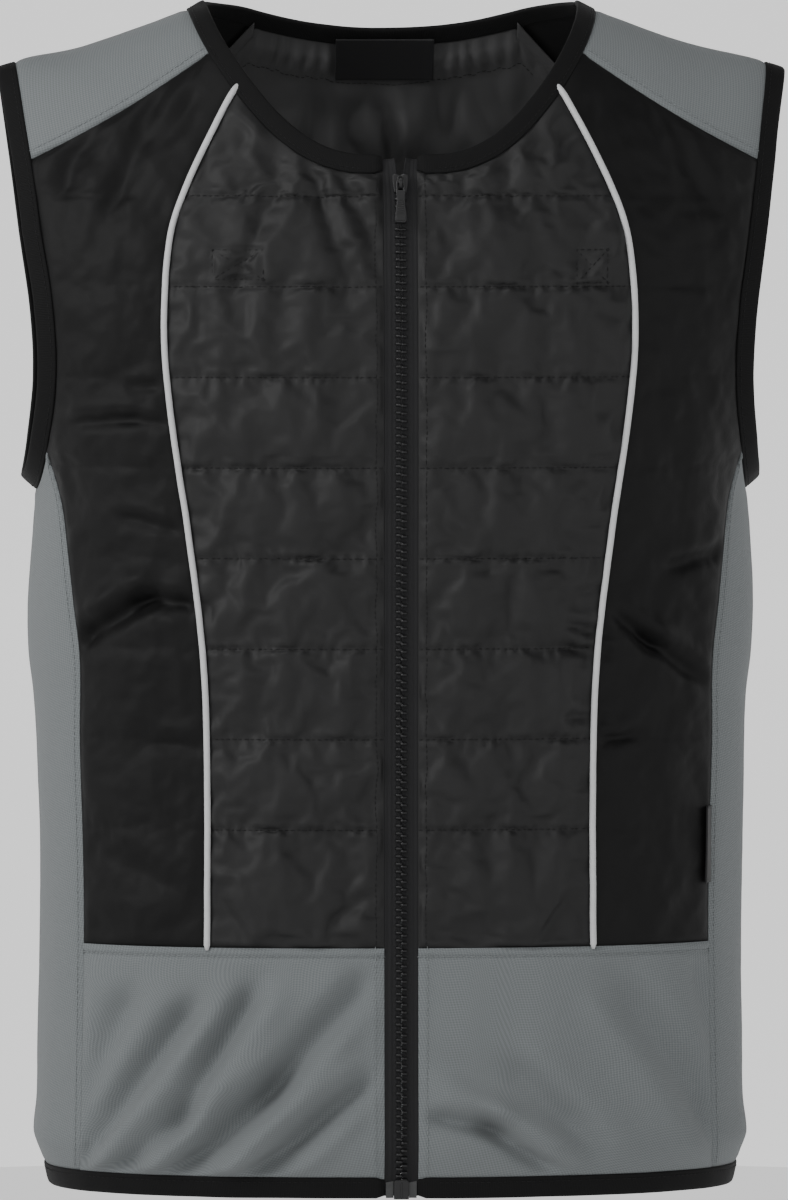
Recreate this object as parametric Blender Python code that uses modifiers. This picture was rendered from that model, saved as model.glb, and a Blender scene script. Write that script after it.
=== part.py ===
"""Cooling vest: a sleeveless work vest with a front zip, kept in the shape it has when worn.

Metres, +Z up. The front faces -Y and the wearer's left is at +X. The origin lies midway
between the shoulders, at the level where they carry the vest.
"""
import math
from collections import namedtuple

import bmesh
import bpy
from mathutils import Matrix, Vector

# The body of the vest
LENGTH = 0.675                # from the shoulders down to the hem
CHEST_HALF_WIDTH = 0.212
CHEST_HALF_DEPTH = 0.122
BODY_ROUNDNESS = 2.4          # 2 is an ellipse from above, more is squarer
DOME_FOOT = 0.250             # how far down the body starts to close towards the shoulders
DOME_ROUNDNESS = 2.3          # the same as BODY_ROUNDNESS, seen from the side
SHOULDER_FALL = 0.0378        # from the neck down to the shoulder's tip
SHOULDER_HALF_WIDTH = 0.2205  # to the armhole's edge

# The neck and the armholes, where the panels end
NECK_HALF_WIDTH = 0.1186
NECK_FRONT = 0.1045           # from the shoulder line forward to the zip
NECK_BACK = 0.074
NECK_FRONT_ROUNDNESS = 2.7
NECK_BACK_ROUNDNESS = 2.1
ARMHOLE_BOTTOM = 0.2678
SEAM_AT_ARMHOLE = 0.2448      # where the side seams leave the armhole

# Seams across the body, as distances below the shoulders
LOWER_SEAM = 0.530
QUILT_TOP = 0.0965
QUILT_PITCH = 0.0522
QUILT_ROWS = 8
YOKE_FRONT_AT_NECK = 0.1079   # half widths at which the yoke's seams leave the neck
YOKE_BACK_AT_NECK = 0.077
YOKE_FRONT_AT_ARM = 0.0757    # and the levels at which they reach the armhole
YOKE_BACK_AT_ARM = 0.100
YOKE_FRONT_BOW = 0.003
YOKE_BACK_BOW = 0.012

# Cloth
QUILTED_WALL = 0.0028
PLAIN_WALL = 0.0018
PUFF = 0.0040                 # how far the quilting swells between its rows
FOLD_DEPTH = 0.0060
FOLD_WIDTH = 0.0200
SEAM_GAP = 0.0009             # between two pieces that are sewn together
CLEARANCE = 0.0003            # between hard pieces that touch

# Edges
NECK_BAND = 0.0105
ARMHOLE_BAND = 0.0110
HEM_BAND = 0.0115
BAND_WALL = 0.0035
BAND_CROWN = 0.0005
ARMHOLE_FLARE = 1.0           # how strongly the band turns out under the arm
PIPING_RADIUS = 0.0019
PIPING_STAND = 0.0010         # how far its centre stands off the cloth

# The zip
ZIP_HALF_WIDTH = 0.0098
CHAIN_HALF_WIDTH = 0.0035
CHAIN_WALL = 0.0031
CHAIN_STAND = 0.0006          # how far the teeth stand off the cloth
TAPE_WALL = 0.0010
TAPE_OVERLAP = 0.004           # of a tape behind the cloth beside it
SLIDER_DROP = 0.0085          # from the neck band down to the slider's middle
SLIDER_WIDTH = 0.0090
SLIDER_HEIGHT = 0.0110
SLIDER_WALL = 0.0024
BRIDGE_RADIUS = 0.0027        # of the loop that the pull hangs on
BRIDGE_WIRE = 0.0008
PULL_LENGTH = 0.0240
PULL_WIDTH = 0.0062
PULL_WALL = 0.0016
PULL_BAR = 0.0016
PULL_WINDOW = 0.0040
PULL_WINDOW_WIDTH = 0.0030
BOX_WIDTH = 0.0085
BOX_HEIGHT = 0.0112
BOX_WALL = 0.0054

# Labels
NECK_LABEL_WIDTH = 0.058
NECK_LABEL_HEIGHT = 0.0245
SIDE_LABEL_WIDTH = 0.0085
SIDE_LABEL_HEIGHT = 0.0446
SIDE_LABEL_TOP = 0.4510       # below the shoulders
LABEL_WALL = 0.0008

# Level sections of the body: drop is a share of LENGTH, the half width is a share of
# CHEST_HALF_WIDTH, and front and back are shares of CHEST_HALF_DEPTH.
Section = namedtuple("Section", "drop width front back")
SECTIONS = (
    Section(-0.05, 1.133, 0.970, 0.960),
    Section(0.110, 1.125, 0.985, 0.975),
    Section(0.171, 1.118, 0.993, 0.985),
    Section(0.236, 1.104, 1.000, 0.985),
    Section(0.297, 1.056, 1.003, 0.975),
    Section(0.352, 1.010, 1.003, 0.965),
    Section(0.394, 0.983, 1.000, 0.950),
    Section(0.433, 0.989, 0.996, 0.930),
    Section(0.491, 1.000, 0.990, 0.905),
    Section(0.538, 0.998, 0.983, 0.885),
    Section(0.576, 0.986, 0.978, 0.875),
    Section(0.646, 0.978, 0.976, 0.875),
    Section(0.704, 0.972, 0.980, 0.895),
    Section(0.800, 0.970, 0.992, 0.935),
    Section(0.885, 0.976, 1.005, 0.975),
    Section(0.925, 0.979, 1.018, 1.000),
    Section(0.956, 0.988, 1.026, 1.016),
    Section(0.969, 0.974, 1.012, 1.004),
    Section(0.980, 0.960, 0.994, 0.988),
    Section(1.000, 0.944, 0.976, 0.970),
)

# The shoulder line from the middle outwards: out is a share of SHOULDER_HALF_WIDTH, rise of
# SHOULDER_FALL above the origin. Inside the neck it is only a guide.
Ridge = namedtuple("Ridge", "out rise")
SHOULDER_LINE = (
    Ridge(0.000, 1.190),
    Ridge(0.370, 0.760),
    Ridge(0.538, 0.317),
    Ridge(0.685, -0.016),
    Ridge(0.823, -0.272),
    Ridge(0.952, -0.423),
    Ridge(1.014, -0.534),
    Ridge(1.090, -0.650),
)

# Seams down the body: drop is a share of LENGTH, out of CHEST_HALF_WIDTH.
Seam = namedtuple("Seam", "drop out")
PIPING_SEAM = (
    Seam(0.000, 0.340),
    Seam(0.058, 0.456),
    Seam(0.138, 0.583),
    Seam(0.183, 0.626),
    Seam(0.259, 0.641),
    Seam(0.327, 0.624),
    Seam(0.440, 0.572),
    Seam(0.542, 0.535),
    Seam(0.644, 0.525),
    Seam(0.787, 0.526),
)
SIDE_SEAM = (
    Seam(0.360, 0.9624),
    Seam(0.406, 0.920),
    Seam(0.457, 0.901),
    Seam(0.491, 0.889),
    Seam(0.542, 0.871),
    Seam(0.611, 0.871),
    Seam(0.704, 0.863),
    Seam(0.787, 0.861),
    Seam(1.000, 0.873),
)

# The armhole seen from the front: drop is a share of ARMHOLE_BOTTOM, and out a share of the
# body's own half width at that level, which it reaches at the bottom.
ARMHOLE_EDGE = (
    Seam(0.076, 0.921),
    Seam(0.290, 0.890),
    Seam(0.419, 0.875),
    Seam(0.597, 0.857),
    Seam(0.762, 0.890),
    Seam(0.907, 0.953),
    Seam(1.000, 1.000),
)

# Folds seen from the front, each a valley along a line, or a ridge where its depth is
# negative. side is 1 on the wearer's left and -1 on the right. out and drop are shares of
# CHEST_HALF_WIDTH and LENGTH, width and depth of FOLD_WIDTH and FOLD_DEPTH.
Fold = namedtuple("Fold", "side out drop end_out end_drop width depth")
NYLON_FOLDS = (
    Fold(-1, 0.60, 0.488, 0.84, 0.500, 0.7, 0.9),
    Fold(-1, 0.70, 0.338, 0.86, 0.338, 0.5, 0.5),
    Fold(-1, 0.86, 0.080, 0.90, 0.140, 0.8, 0.5),
    Fold(-1, 0.67, 0.085, 0.77, 0.155, 0.8, 0.5),
    Fold(-1, 0.20, 0.128, 0.30, 0.175, 0.8, 0.4),
    Fold(1, 0.56, 0.508, 0.76, 0.555, 0.7, 0.7),
    Fold(1, 0.68, 0.080, 0.78, 0.150, 0.8, 0.4),
)
KNIT_FOLDS = (
    Fold(-1, 0.92, 0.935, 0.78, 0.830, 0.8, 0.5),
    Fold(-1, 0.76, 0.965, 0.45, 0.840, 0.9, 0.9),
    Fold(-1, 0.61, 0.970, 0.18, 0.810, 1.0, 1.0),
    Fold(-1, 0.41, 0.965, 0.12, 0.898, 0.8, 0.7),
    Fold(-1, 0.68, 0.975, 0.30, 0.820, 0.8, -0.6),
    Fold(-1, 0.50, 0.975, 0.12, 0.835, 0.8, -0.6),
    Fold(1, 0.09, 0.925, 0.33, 0.964, 0.8, 0.8),
    Fold(1, 0.31, 0.890, 0.48, 0.948, 0.8, 0.4),
    Fold(1, 0.62, 0.835, 0.84, 0.940, 1.0, 0.6),
    Fold(1, 0.10, 0.890, 0.40, 0.930, 0.8, -0.4),
)

# How finely each panel is divided
FRONT_ROWS_PER_CHANNEL = 3
BACK_ROWS_PER_CHANNEL = 2
TOP_ROWS = 4
CENTRE_COLUMNS = 7
YOKE_SEAM_STEPS = 4
SIDE_COLUMNS = YOKE_SEAM_STEPS + 1
BACK_COLUMNS = 4 * YOKE_SEAM_STEPS
BAND_ROWS = 8
BAND_COLUMNS = 9
PANEL_COLUMNS = 10
YOKE_COLUMNS = 2 * YOKE_SEAM_STEPS
YOKE_ROWS = 8
NECK_STEPS = 52
ARMHOLE_STEPS = 48
HEM_STEPS = 48
PIPING_STEPS = 22
ZIP_STEPS = 24

Finish = namedtuple("Finish", "name colour roughness metallic")
FINISHES = (
    Finish("black_nylon", (0.032, 0.033, 0.035), 0.45, 0.0),
    Finish("grey_knit", (0.190, 0.205, 0.210), 0.85, 0.0),
    Finish("black_binding", (0.010, 0.010, 0.011), 0.70, 0.0),
    Finish("silver_piping", (0.560, 0.565, 0.570), 0.40, 0.0),
    Finish("zip_tape", (0.018, 0.018, 0.019), 0.75, 0.0),
    Finish("black_plastic", (0.015, 0.015, 0.016), 0.35, 0.0),
    Finish("black_label", (0.012, 0.012, 0.013), 0.50, 0.0),
)


def clear_scene():
    """Remove whatever the file holds."""
    for thing in list(bpy.data.objects):
        bpy.data.objects.remove(thing, do_unlink=True)


def make_finishes():
    """One Principled material for each finish, by name."""
    made = {}
    for finish in FINISHES:
        material = bpy.data.materials.new(finish.name)
        material.use_nodes = True
        shader = material.node_tree.nodes["Principled BSDF"]
        shader.inputs["Base Color"].default_value = (*finish.colour, 1.0)
        shader.inputs["Roughness"].default_value = finish.roughness
        shader.inputs["Metallic"].default_value = finish.metallic
        made[finish.name] = material
    return made


def read(rows, at, key, value):
    """Read one column of a table at a place on another, on a smooth curve through its rows."""
    keys = [getattr(row, key) for row in rows]
    values = [getattr(row, value) for row in rows]
    if at <= keys[0]:
        return values[0]
    if at >= keys[-1]:
        return values[-1]
    low = max(index for index in range(len(keys) - 1) if keys[index] <= at)

    def slope(index):
        before = max(index - 1, 0)
        after = min(index + 1, len(keys) - 1)
        return (values[after] - values[before]) / (keys[after] - keys[before])

    span = keys[low + 1] - keys[low]
    t = (at - keys[low]) / span
    start = values[low] * (1 + 2 * t) * (1 - t) ** 2 + slope(low) * span * t * (1 - t) ** 2
    end = values[low + 1] * (3 - 2 * t) * t ** 2 - slope(low + 1) * span * (1 - t) * t ** 2
    return start + end


def mix(a, b, share):
    """The value or point that lies a share of the way from a to b."""
    return a + (b - a) * share


# The surface of the body

def half_width(z):
    return CHEST_HALF_WIDTH * read(SECTIONS, -z / LENGTH, "drop", "width")


def half_depth(z, back):
    column = "back" if back else "front"
    return CHEST_HALF_DEPTH * read(SECTIONS, -z / LENGTH, "drop", column)


def ridge(x):
    """Height of the shoulder line at a distance from the middle."""
    out = abs(x) / SHOULDER_HALF_WIDTH
    return SHOULDER_FALL * read(SHOULDER_LINE, out, "out", "rise")


def narrowing(x, z):
    """Share of the depth that is left as the body closes towards the shoulders."""
    rise = min(max((z + DOME_FOOT) / (ridge(x) + DOME_FOOT), 0.0), 1.0)
    return (1 - rise ** DOME_ROUNDNESS) ** (1 / DOME_ROUNDNESS)


def fullness(x, z):
    """Depth at x as a share of the depth in the middle of a level section."""
    across = min(abs(x) / half_width(z), 1.0)
    return (1 - across ** BODY_ROUNDNESS) ** (1 / BODY_ROUNDNESS)


def body_y(x, z, back):
    reach = half_depth(z, back) * fullness(x, z) * narrowing(x, z)
    return reach if back else -reach


def body(x, z, back):
    return Vector((x, body_y(x, z, back), z))


def body_from_above(x, y):
    """The point of the shoulders above a place in plan."""
    z = 0.0
    for _ in range(8):
        reach = half_depth(z, y > 0) * fullness(x, z)
        rise = (1 - min(abs(y) / reach, 1.0) ** DOME_ROUNDNESS) ** (1 / DOME_ROUNDNESS)
        z = -DOME_FOOT + (ridge(x) + DOME_FOOT) * rise
    return Vector((x, y, z))


def body_round(angle, z):
    """The point at an angle round the body, 0 in front, 90 under the left arm, 180 behind."""
    power = 2 / BODY_ROUNDNESS
    sine = math.sin(angle)
    x = math.copysign(half_width(z) * abs(sine) ** power, sine)
    back = math.cos(angle) < 0
    reach = half_depth(z, back) * abs(math.cos(angle)) ** power
    reach *= narrowing(x, z)
    return Vector((x, reach if back else -reach, z))


def angle_round(x, z, back):
    """The angle round the body at which its level section reaches x."""
    share = min(abs(x) / half_width(z), 1.0)
    angle = math.asin(share ** (BODY_ROUNDNESS / 2))
    angle = math.pi - angle if back else angle
    return math.copysign(angle, x)


def outside(point):
    """Grows across the surface of the body, from below 0 inside it to above 0 outside."""
    x, y, z = point
    depth = half_depth(z, y > 0)
    return (abs(y) / depth) ** DOME_ROUNDNESS - (fullness(x, z) * narrowing(x, z)) ** DOME_ROUNDNESS


def outward(point):
    """Direction that faces away from the body at a point of its surface."""
    step = 0.0005
    steps = [Vector((step, 0, 0)), Vector((0, step, 0)), Vector((0, 0, step))]
    slopes = [outside(point + move) - outside(point - move) for move in steps]
    return Vector(slopes).normalized()


# Seams and edges

def neck_at(turn):
    """The neck's edge: turn is 0 at the zip, 90 degrees on the left shoulder, 180 behind."""
    back = math.cos(turn) < 0
    power = 2 / (NECK_BACK_ROUNDNESS if back else NECK_FRONT_ROUNDNESS)
    sine = math.sin(turn)
    x = math.copysign(NECK_HALF_WIDTH * abs(sine) ** power, sine)
    reach = NECK_BACK if back else NECK_FRONT
    y = -math.copysign(reach * abs(math.cos(turn)) ** power, math.cos(turn))
    return body_from_above(x, y)


def neck_turn(x, back):
    """The neck's turn at a half width."""
    power = (NECK_BACK_ROUNDNESS if back else NECK_FRONT_ROUNDNESS) / 2
    turn = math.asin(min(abs(x) / NECK_HALF_WIDTH, 1.0) ** power)
    turn = math.pi - turn if back else turn
    return math.copysign(turn, x)


def neck_z(x, back):
    return neck_at(neck_turn(x, back)).z


def seam_x(table, z):
    return CHEST_HALF_WIDTH * read(table, -z / LENGTH, "drop", "out")


def armhole_x(z):
    return half_width(z) * read(ARMHOLE_EDGE, -z / ARMHOLE_BOTTOM, "drop", "out")


def shoulder_tip():
    """Level at which the armhole crosses the shoulder line."""
    z = 0.0
    for _ in range(6):
        z = ridge(armhole_x(z))
    return z


def armhole_turn(z):
    """The armhole's turn at a level, from 0 at the shoulder's tip to 180 degrees below."""
    middle = (shoulder_tip() - ARMHOLE_BOTTOM) / 2
    half = (shoulder_tip() + ARMHOLE_BOTTOM) / 2
    return math.acos(min(max((z - middle) / half, -1.0), 1.0))


def armhole_at(turn):
    """The left armhole's edge, from the shoulder's tip down the front and up the back."""
    middle = (shoulder_tip() - ARMHOLE_BOTTOM) / 2
    half = (shoulder_tip() + ARMHOLE_BOTTOM) / 2
    z = middle + half * math.cos(turn)
    return body(armhole_x(z), z, math.sin(turn) < 0)


def side_edge_x(z):
    """Half width of the front's and the back's outer edge: the armhole, then the side seam."""
    return armhole_x(z) if z > -SEAM_AT_ARMHOLE else seam_x(SIDE_SEAM, z)


def piping_top():
    """Level at which the piping starts from the neck."""
    z = -QUILT_TOP / 2
    for _ in range(30):
        z = mix(z, neck_z(seam_x(PIPING_SEAM, z), False), 0.5)
    return z


def beside(x, z, distance, back=False):
    """The half width that lies a distance along the cloth from x."""
    step = 0.0005
    slope = (body_y(x + step, z, back) - body_y(x - step, z, back)) / (2 * step)
    return x + distance / math.sqrt(1 + slope * slope)


def yoke_seam(share, back, offset=0.0):
    """The yoke's seam from the neck to the armhole, and what lies a little below it."""
    neck_x = YOKE_BACK_AT_NECK if back else YOKE_FRONT_AT_NECK
    arm_z = -(YOKE_BACK_AT_ARM if back else YOKE_FRONT_AT_ARM)
    bow = YOKE_BACK_BOW if back else YOKE_FRONT_BOW
    x = mix(neck_x, armhole_x(arm_z), share)
    z = mix(neck_z(neck_x, back), arm_z, share) - bow * math.sin(math.pi * share)
    return x, z - offset


# Folds and quilting

def fold_relief(folds, x, z):
    """How far the folds of a table move the cloth outwards at a place on the front."""
    total = 0.0
    for fold in folds:
        start = Vector((fold.side * fold.out * CHEST_HALF_WIDTH, -fold.drop * LENGTH))
        end = Vector((fold.side * fold.end_out * CHEST_HALF_WIDTH, -fold.end_drop * LENGTH))
        run = end - start
        share = (Vector((x, z)) - start).dot(run) / run.length_squared
        nearest = start + run * min(max(share, 0.0), 1.0)
        away = (Vector((x, z)) - nearest).length / (fold.width * FOLD_WIDTH / 2)
        total -= fold.depth * FOLD_DEPTH * math.exp(-away * away)
    return total


def quilt_relief(z):
    """How far a quilted panel swells at a level."""
    last_row = QUILT_TOP + (QUILT_ROWS - 1) * QUILT_PITCH
    if -z > last_row:
        share = (-z - last_row) / (LOWER_SEAM - last_row)
    else:
        channels = (-z - QUILT_TOP) / QUILT_PITCH
        share = channels - math.floor(channels)
    share = min(max(share, 0.0), 1.0)
    return PUFF * (4 * share * (1 - share)) ** 0.7


def nylon_relief(point):
    fold = fold_relief(NYLON_FOLDS, point.x, point.z) if point.y < 0 else 0.0
    return max(quilt_relief(point.z) + fold, -PUFF / 4)


def knit_relief(point):
    return fold_relief(KNIT_FOLDS, point.x, point.z) if point.y < 0 else 0.0


# Making pieces

def add_piece(name, mesh, material, collection):
    """Put a mesh in the vest's collection under its own name."""
    mesh.name = name
    mesh.materials.append(material)
    piece = bpy.data.objects.new(name, mesh)
    collection.objects.link(piece)
    return piece


def lay_sheet(columns, rows, place, relief=None, keep_edges=True):
    """A grid laid at place(u, v) and then moved outwards by its relief."""
    sheet = bmesh.new()
    bmesh.ops.create_grid(sheet, x_segments=columns, y_segments=rows, size=0.5)
    for vert in sheet.verts:
        vert.co = place(vert.co.x + 0.5, vert.co.y + 0.5)
    bmesh.ops.remove_doubles(sheet, verts=sheet.verts, dist=SEAM_GAP / 10)
    facing = 0.0
    for face in sheet.faces:
        face.normal_update()
        facing += face.normal.dot(outward(face.calc_center_median()))
    if facing < 0:
        bmesh.ops.reverse_faces(sheet, faces=sheet.faces)
    sheet.normal_update()
    if relief:
        moves = {}
        for vert in sheet.verts:
            if not (keep_edges and vert.is_boundary):
                moves[vert] = vert.normal * relief(vert.co)
        for vert, move in moves.items():
            vert.co += move
    return sheet


def add_cloth(name, sheet, wall, offset, material, collection):
    """Turn a laid sheet into a piece of cloth with a wall."""
    mesh = bpy.data.meshes.new(name)
    sheet.to_mesh(mesh)
    sheet.free()
    mesh.shade_smooth()
    piece = add_piece(name, mesh, material, collection)
    thicken = piece.modifiers.new("wall", "SOLIDIFY")
    thicken.thickness = wall
    thicken.offset = offset
    thicken.use_even_offset = True
    return piece


def even_levels(top, bottom, count):
    """Even steps from the bottom up to the top."""
    return [mix(bottom, top, index / count) for index in range(count + 1)]


def quilt_levels(per_channel, corner):
    """Levels of a quilted panel's rows, from the lower seam up to below its armhole corner.

    One level is the point where the side seam leaves the armhole.
    """
    last_row = QUILT_TOP + (QUILT_ROWS - 1) * QUILT_PITCH
    levels = even_levels(-last_row, -LOWER_SEAM + SEAM_GAP / 2, per_channel + 1)
    steps = (QUILT_ROWS - 1) * per_channel
    for step in range(1, steps + 1):
        levels.append(-last_row + step * QUILT_PITCH / per_channel)
    nearest = min(range(len(levels)), key=lambda index: abs(levels[index] + SEAM_AT_ARMHOLE))
    levels[nearest] = -SEAM_AT_ARMHOLE
    return [level for level in levels if level < -corner - QUILT_PITCH / 6]


def seam_levels():
    """Levels of the rows that meet at the back's side seams, up to the armhole."""
    levels = quilt_levels(BACK_ROWS_PER_CHANNEL, YOKE_BACK_AT_ARM)
    return [level for level in levels if level <= -SEAM_AT_ARMHOLE]


def torso_sheet(columns, levels, left, right, back, side, relief, top=None, share=None):
    """A panel between two edges, on level rows, with its top row on an edge of its own.

    left(z) and right(z) give the edges' half widths, top(u) gives x and z along the top,
    share(u) spreads the columns of the top row, and side is 1 or -1.
    """
    flat_rows = len(levels) - 1
    rows = flat_rows + (TOP_ROWS if top else 0)

    def place(u, v):
        row = v * rows
        index = round(row)
        if index <= flat_rows:
            z = levels[index]
            x = mix(left(z), right(z), u)
        else:
            lift = (index - flat_rows) / TOP_ROWS
            start_x, start_z = top(0.0)
            end_x, end_z = top(1.0)
            low = levels[-1]
            left_z = mix(low, start_z, lift)
            right_z = mix(low, end_z, lift)
            x = mix(left(left_z) if lift < 1 else start_x, right(right_z) if lift < 1 else end_x, u)
            z = mix(left_z, right_z, u)
            top_x, top_z = top(share(u) if share else u)
            x += lift * (top_x - mix(start_x, end_x, u))
            z += lift * (top_z - mix(start_z, end_z, u))
        return body(side * x, z, back)

    return lay_sheet(columns, rows, place, relief)


def front_centre(side, name, material, collection):
    """Quilted panel between the zip and the piping."""
    edge = PIPING_RADIUS + SEAM_GAP / 2

    def left(_):
        return ZIP_HALF_WIDTH + SEAM_GAP / 2

    def right(z):
        x = seam_x(PIPING_SEAM, z)
        lean = (seam_x(PIPING_SEAM, z + 0.001) - seam_x(PIPING_SEAM, z - 0.001)) / 0.002
        return beside(x, z, -edge * math.sqrt(1 + lean * lean))

    top_x = right(piping_top())

    def top(u):
        x = mix(left(0), top_x, u)
        return x, neck_z(x, False)

    levels = quilt_levels(FRONT_ROWS_PER_CHANNEL, YOKE_FRONT_AT_ARM)
    sheet = torso_sheet(CENTRE_COLUMNS, levels, left, right, False, side, nylon_relief, top)
    return add_cloth(name, sheet, QUILTED_WALL, -1, material, collection)


def front_side(side, name, material, collection):
    """Quilted panel from the piping to the armhole and the side seam."""
    edge = PIPING_RADIUS + SEAM_GAP / 2
    corner = 1 / SIDE_COLUMNS

    def left(z):
        x = seam_x(PIPING_SEAM, z)
        lean = (seam_x(PIPING_SEAM, z + 0.001) - seam_x(PIPING_SEAM, z - 0.001)) / 0.002
        return beside(x, z, edge * math.sqrt(1 + lean * lean))

    def right(z):
        x = side_edge_x(z)
        return x if z > -SEAM_AT_ARMHOLE else beside(x, z, -SEAM_GAP / 2)

    start_x = left(piping_top())
    neck_x, _ = yoke_seam(0, False)

    def top(u):
        if u < corner:
            x = mix(start_x, neck_x, u / corner)
            return x, neck_z(x, False) - SEAM_GAP / 2 * u / corner
        return yoke_seam((u - corner) / (1 - corner), False, SEAM_GAP / 2)

    levels = quilt_levels(FRONT_ROWS_PER_CHANNEL, YOKE_FRONT_AT_ARM)
    sheet = torso_sheet(SIDE_COLUMNS, levels, left, right, False, side, nylon_relief, top)
    return add_cloth(name, sheet, QUILTED_WALL, -1, material, collection)


def back_panel(name, material, collection):
    """Quilted back between the yokes, the armholes and the side seams."""
    def right(z):
        x = side_edge_x(z)
        return x if z > -SEAM_AT_ARMHOLE else beside(x, z, -SEAM_GAP / 2, True)

    def left(z):
        return -right(z)

    neck_share = 0.5

    def top(u):
        away = abs(2 * u - 1)
        if away < neck_share:
            x = YOKE_BACK_AT_NECK * away / neck_share
            z = neck_z(x, True) - SEAM_GAP / 2 * away / neck_share
        else:
            x, z = yoke_seam((away - neck_share) / (1 - neck_share), True, SEAM_GAP / 2)
        return math.copysign(x, 2 * u - 1), z

    levels = seam_levels()
    for level in quilt_levels(FRONT_ROWS_PER_CHANNEL, YOKE_BACK_AT_ARM):
        if level > -SEAM_AT_ARMHOLE:
            levels.append(level)
    sheet = torso_sheet(BACK_COLUMNS, levels, left, right, True, 1, nylon_relief, top)
    return add_cloth(name, sheet, QUILTED_WALL, -1, material, collection)


def band_levels():
    return even_levels(-LOWER_SEAM - SEAM_GAP / 2, -(LENGTH - HEM_BAND), BAND_ROWS)


def front_band(side, name, material, collection):
    """Plain lower band between the zip and the side seam."""
    def left(_):
        return ZIP_HALF_WIDTH + SEAM_GAP / 2

    def right(z):
        return beside(seam_x(SIDE_SEAM, z), z, -SEAM_GAP / 2)

    sheet = torso_sheet(BAND_COLUMNS, band_levels(), left, right, False, side, knit_relief)
    return add_cloth(name, sheet, PLAIN_WALL, -1, material, collection)


def back_band(name, material, collection):
    """Plain lower band across the back."""
    def right(z):
        return beside(seam_x(SIDE_SEAM, z), z, -SEAM_GAP / 2, True)

    def left(z):
        return -right(z)

    sheet = torso_sheet(BACK_COLUMNS, band_levels(), left, right, True, 1, None)
    return add_cloth(name, sheet, PLAIN_WALL, -1, material, collection)


def side_panel(side, name, material, collection):
    """Plain panel under the arm, from the armhole to the hem."""
    first = armhole_turn(-SEAM_AT_ARMHOLE)
    levels = band_levels()[:-1] + seam_levels()
    rows = len(levels) - 1

    def seam_angle(z, back):
        x = beside(seam_x(SIDE_SEAM, z), z, SEAM_GAP / 2, back)
        return angle_round(x, z, back)

    def place(u, v):
        top = armhole_at(mix(first, 2 * math.pi - first, u))
        if v == 1:
            top.z -= SEAM_GAP if 0 < u < 1 else 2 * SEAM_GAP
        if v == 1 and 0 < u < 1:
            return Vector((side * top.x, top.y, top.z))
        top_angle = angle_round(top.x, top.z, top.y > 0)
        front_top = seam_angle(top.z, False)
        back_top = seam_angle(top.z, True)
        top_share = (top_angle - front_top) / (back_top - front_top)
        top_share = min(max(top_share, 0.0), 1.0)
        level = levels[round(v * rows)]
        lift = max(level + LOWER_SEAM, 0.0) / (LOWER_SEAM - SEAM_AT_ARMHOLE)
        z = level + (top.z + SEAM_AT_ARMHOLE) * lift
        share = mix(top_share, u, min((1 - lift) * 3, 1.0))
        angle = mix(seam_angle(z, False), seam_angle(z, True), share)
        point = body_round(angle, z)
        return Vector((side * point.x, point.y, point.z))

    sheet = lay_sheet(PANEL_COLUMNS, rows, place)
    return add_cloth(name, sheet, PLAIN_WALL, -1, material, collection)


def yoke(side, name, material, collection):
    """Plain shoulder piece, from the front seam over the shoulder to the back seam."""
    neck_front = neck_turn(YOKE_FRONT_AT_NECK, False)
    neck_back = neck_turn(YOKE_BACK_AT_NECK, True)
    arm_front = armhole_turn(-YOKE_FRONT_AT_ARM)
    arm_back = -armhole_turn(-YOKE_BACK_AT_ARM)

    def seam(u, back):
        step = min(math.floor(u * YOKE_SEAM_STEPS), YOKE_SEAM_STEPS - 1)
        ends = []
        for index in (step, step + 1):
            x, z = yoke_seam(index / YOKE_SEAM_STEPS, back, -SEAM_GAP / 2)
            ends.append(body(x, z, back))
        return mix(ends[0], ends[1], u * YOKE_SEAM_STEPS - step)

    def neck(v):
        return neck_at(mix(neck_front, neck_back, v))

    def arm(v):
        return armhole_at(mix(arm_front, arm_back, v))

    def place(u, v):
        corners = mix(mix(seam(0, False), seam(1, False), u), mix(seam(0, True), seam(1, True), u), v)
        across = mix(seam(u, False), seam(u, True), v)
        inner = mix(neck(v), arm(v), u)
        if v in (0, 1):
            point = seam(u, v == 1)
        else:
            point = across + inner - corners
            point = body_from_above(point.x, point.y)
        return Vector((side * point.x, point.y, point.z))

    sheet = lay_sheet(YOKE_COLUMNS, YOKE_ROWS, place)
    return add_cloth(name, sheet, PLAIN_WALL, -1, material, collection)


def band_sheet(path, turns, width, flare=0.0, side=1):
    """A bound edge: a strip that carries the cloth on past the line path(turn)."""
    step = 0.01
    steps = len(turns) - 1
    sink = -QUILTED_WALL / 2

    def place(u, v):
        turn = turns[round(u * steps)]
        point = path(turn)
        along = (path(turn + step) - path(turn - step)).normalized()
        normal = outward(point)
        reach = normal.cross(along).normalized()
        turned_out = flare * (1 - math.cos(turn)) / 2
        reach = (reach + Vector((turned_out, 0, 0))).normalized()
        up = reach.cross(along).normalized()
        up = up if up.dot(normal) > 0 else -up
        crown = BAND_CROWN * 4 * v * (1 - v)
        point = point + reach * (SEAM_GAP + v * width) + up * (sink + crown)
        return Vector((side * point.x, point.y, point.z))

    return lay_sheet(steps, 2, place)


def neck_binding(name, material, collection):
    """Band round the neck, open at the zip."""
    gap = neck_turn(ZIP_HALF_WIDTH, False)
    turns = even_levels(2 * math.pi - gap, gap, NECK_STEPS)
    sheet = band_sheet(neck_at, turns, NECK_BAND)
    return add_cloth(name, sheet, BAND_WALL, 0, material, collection)


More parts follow.
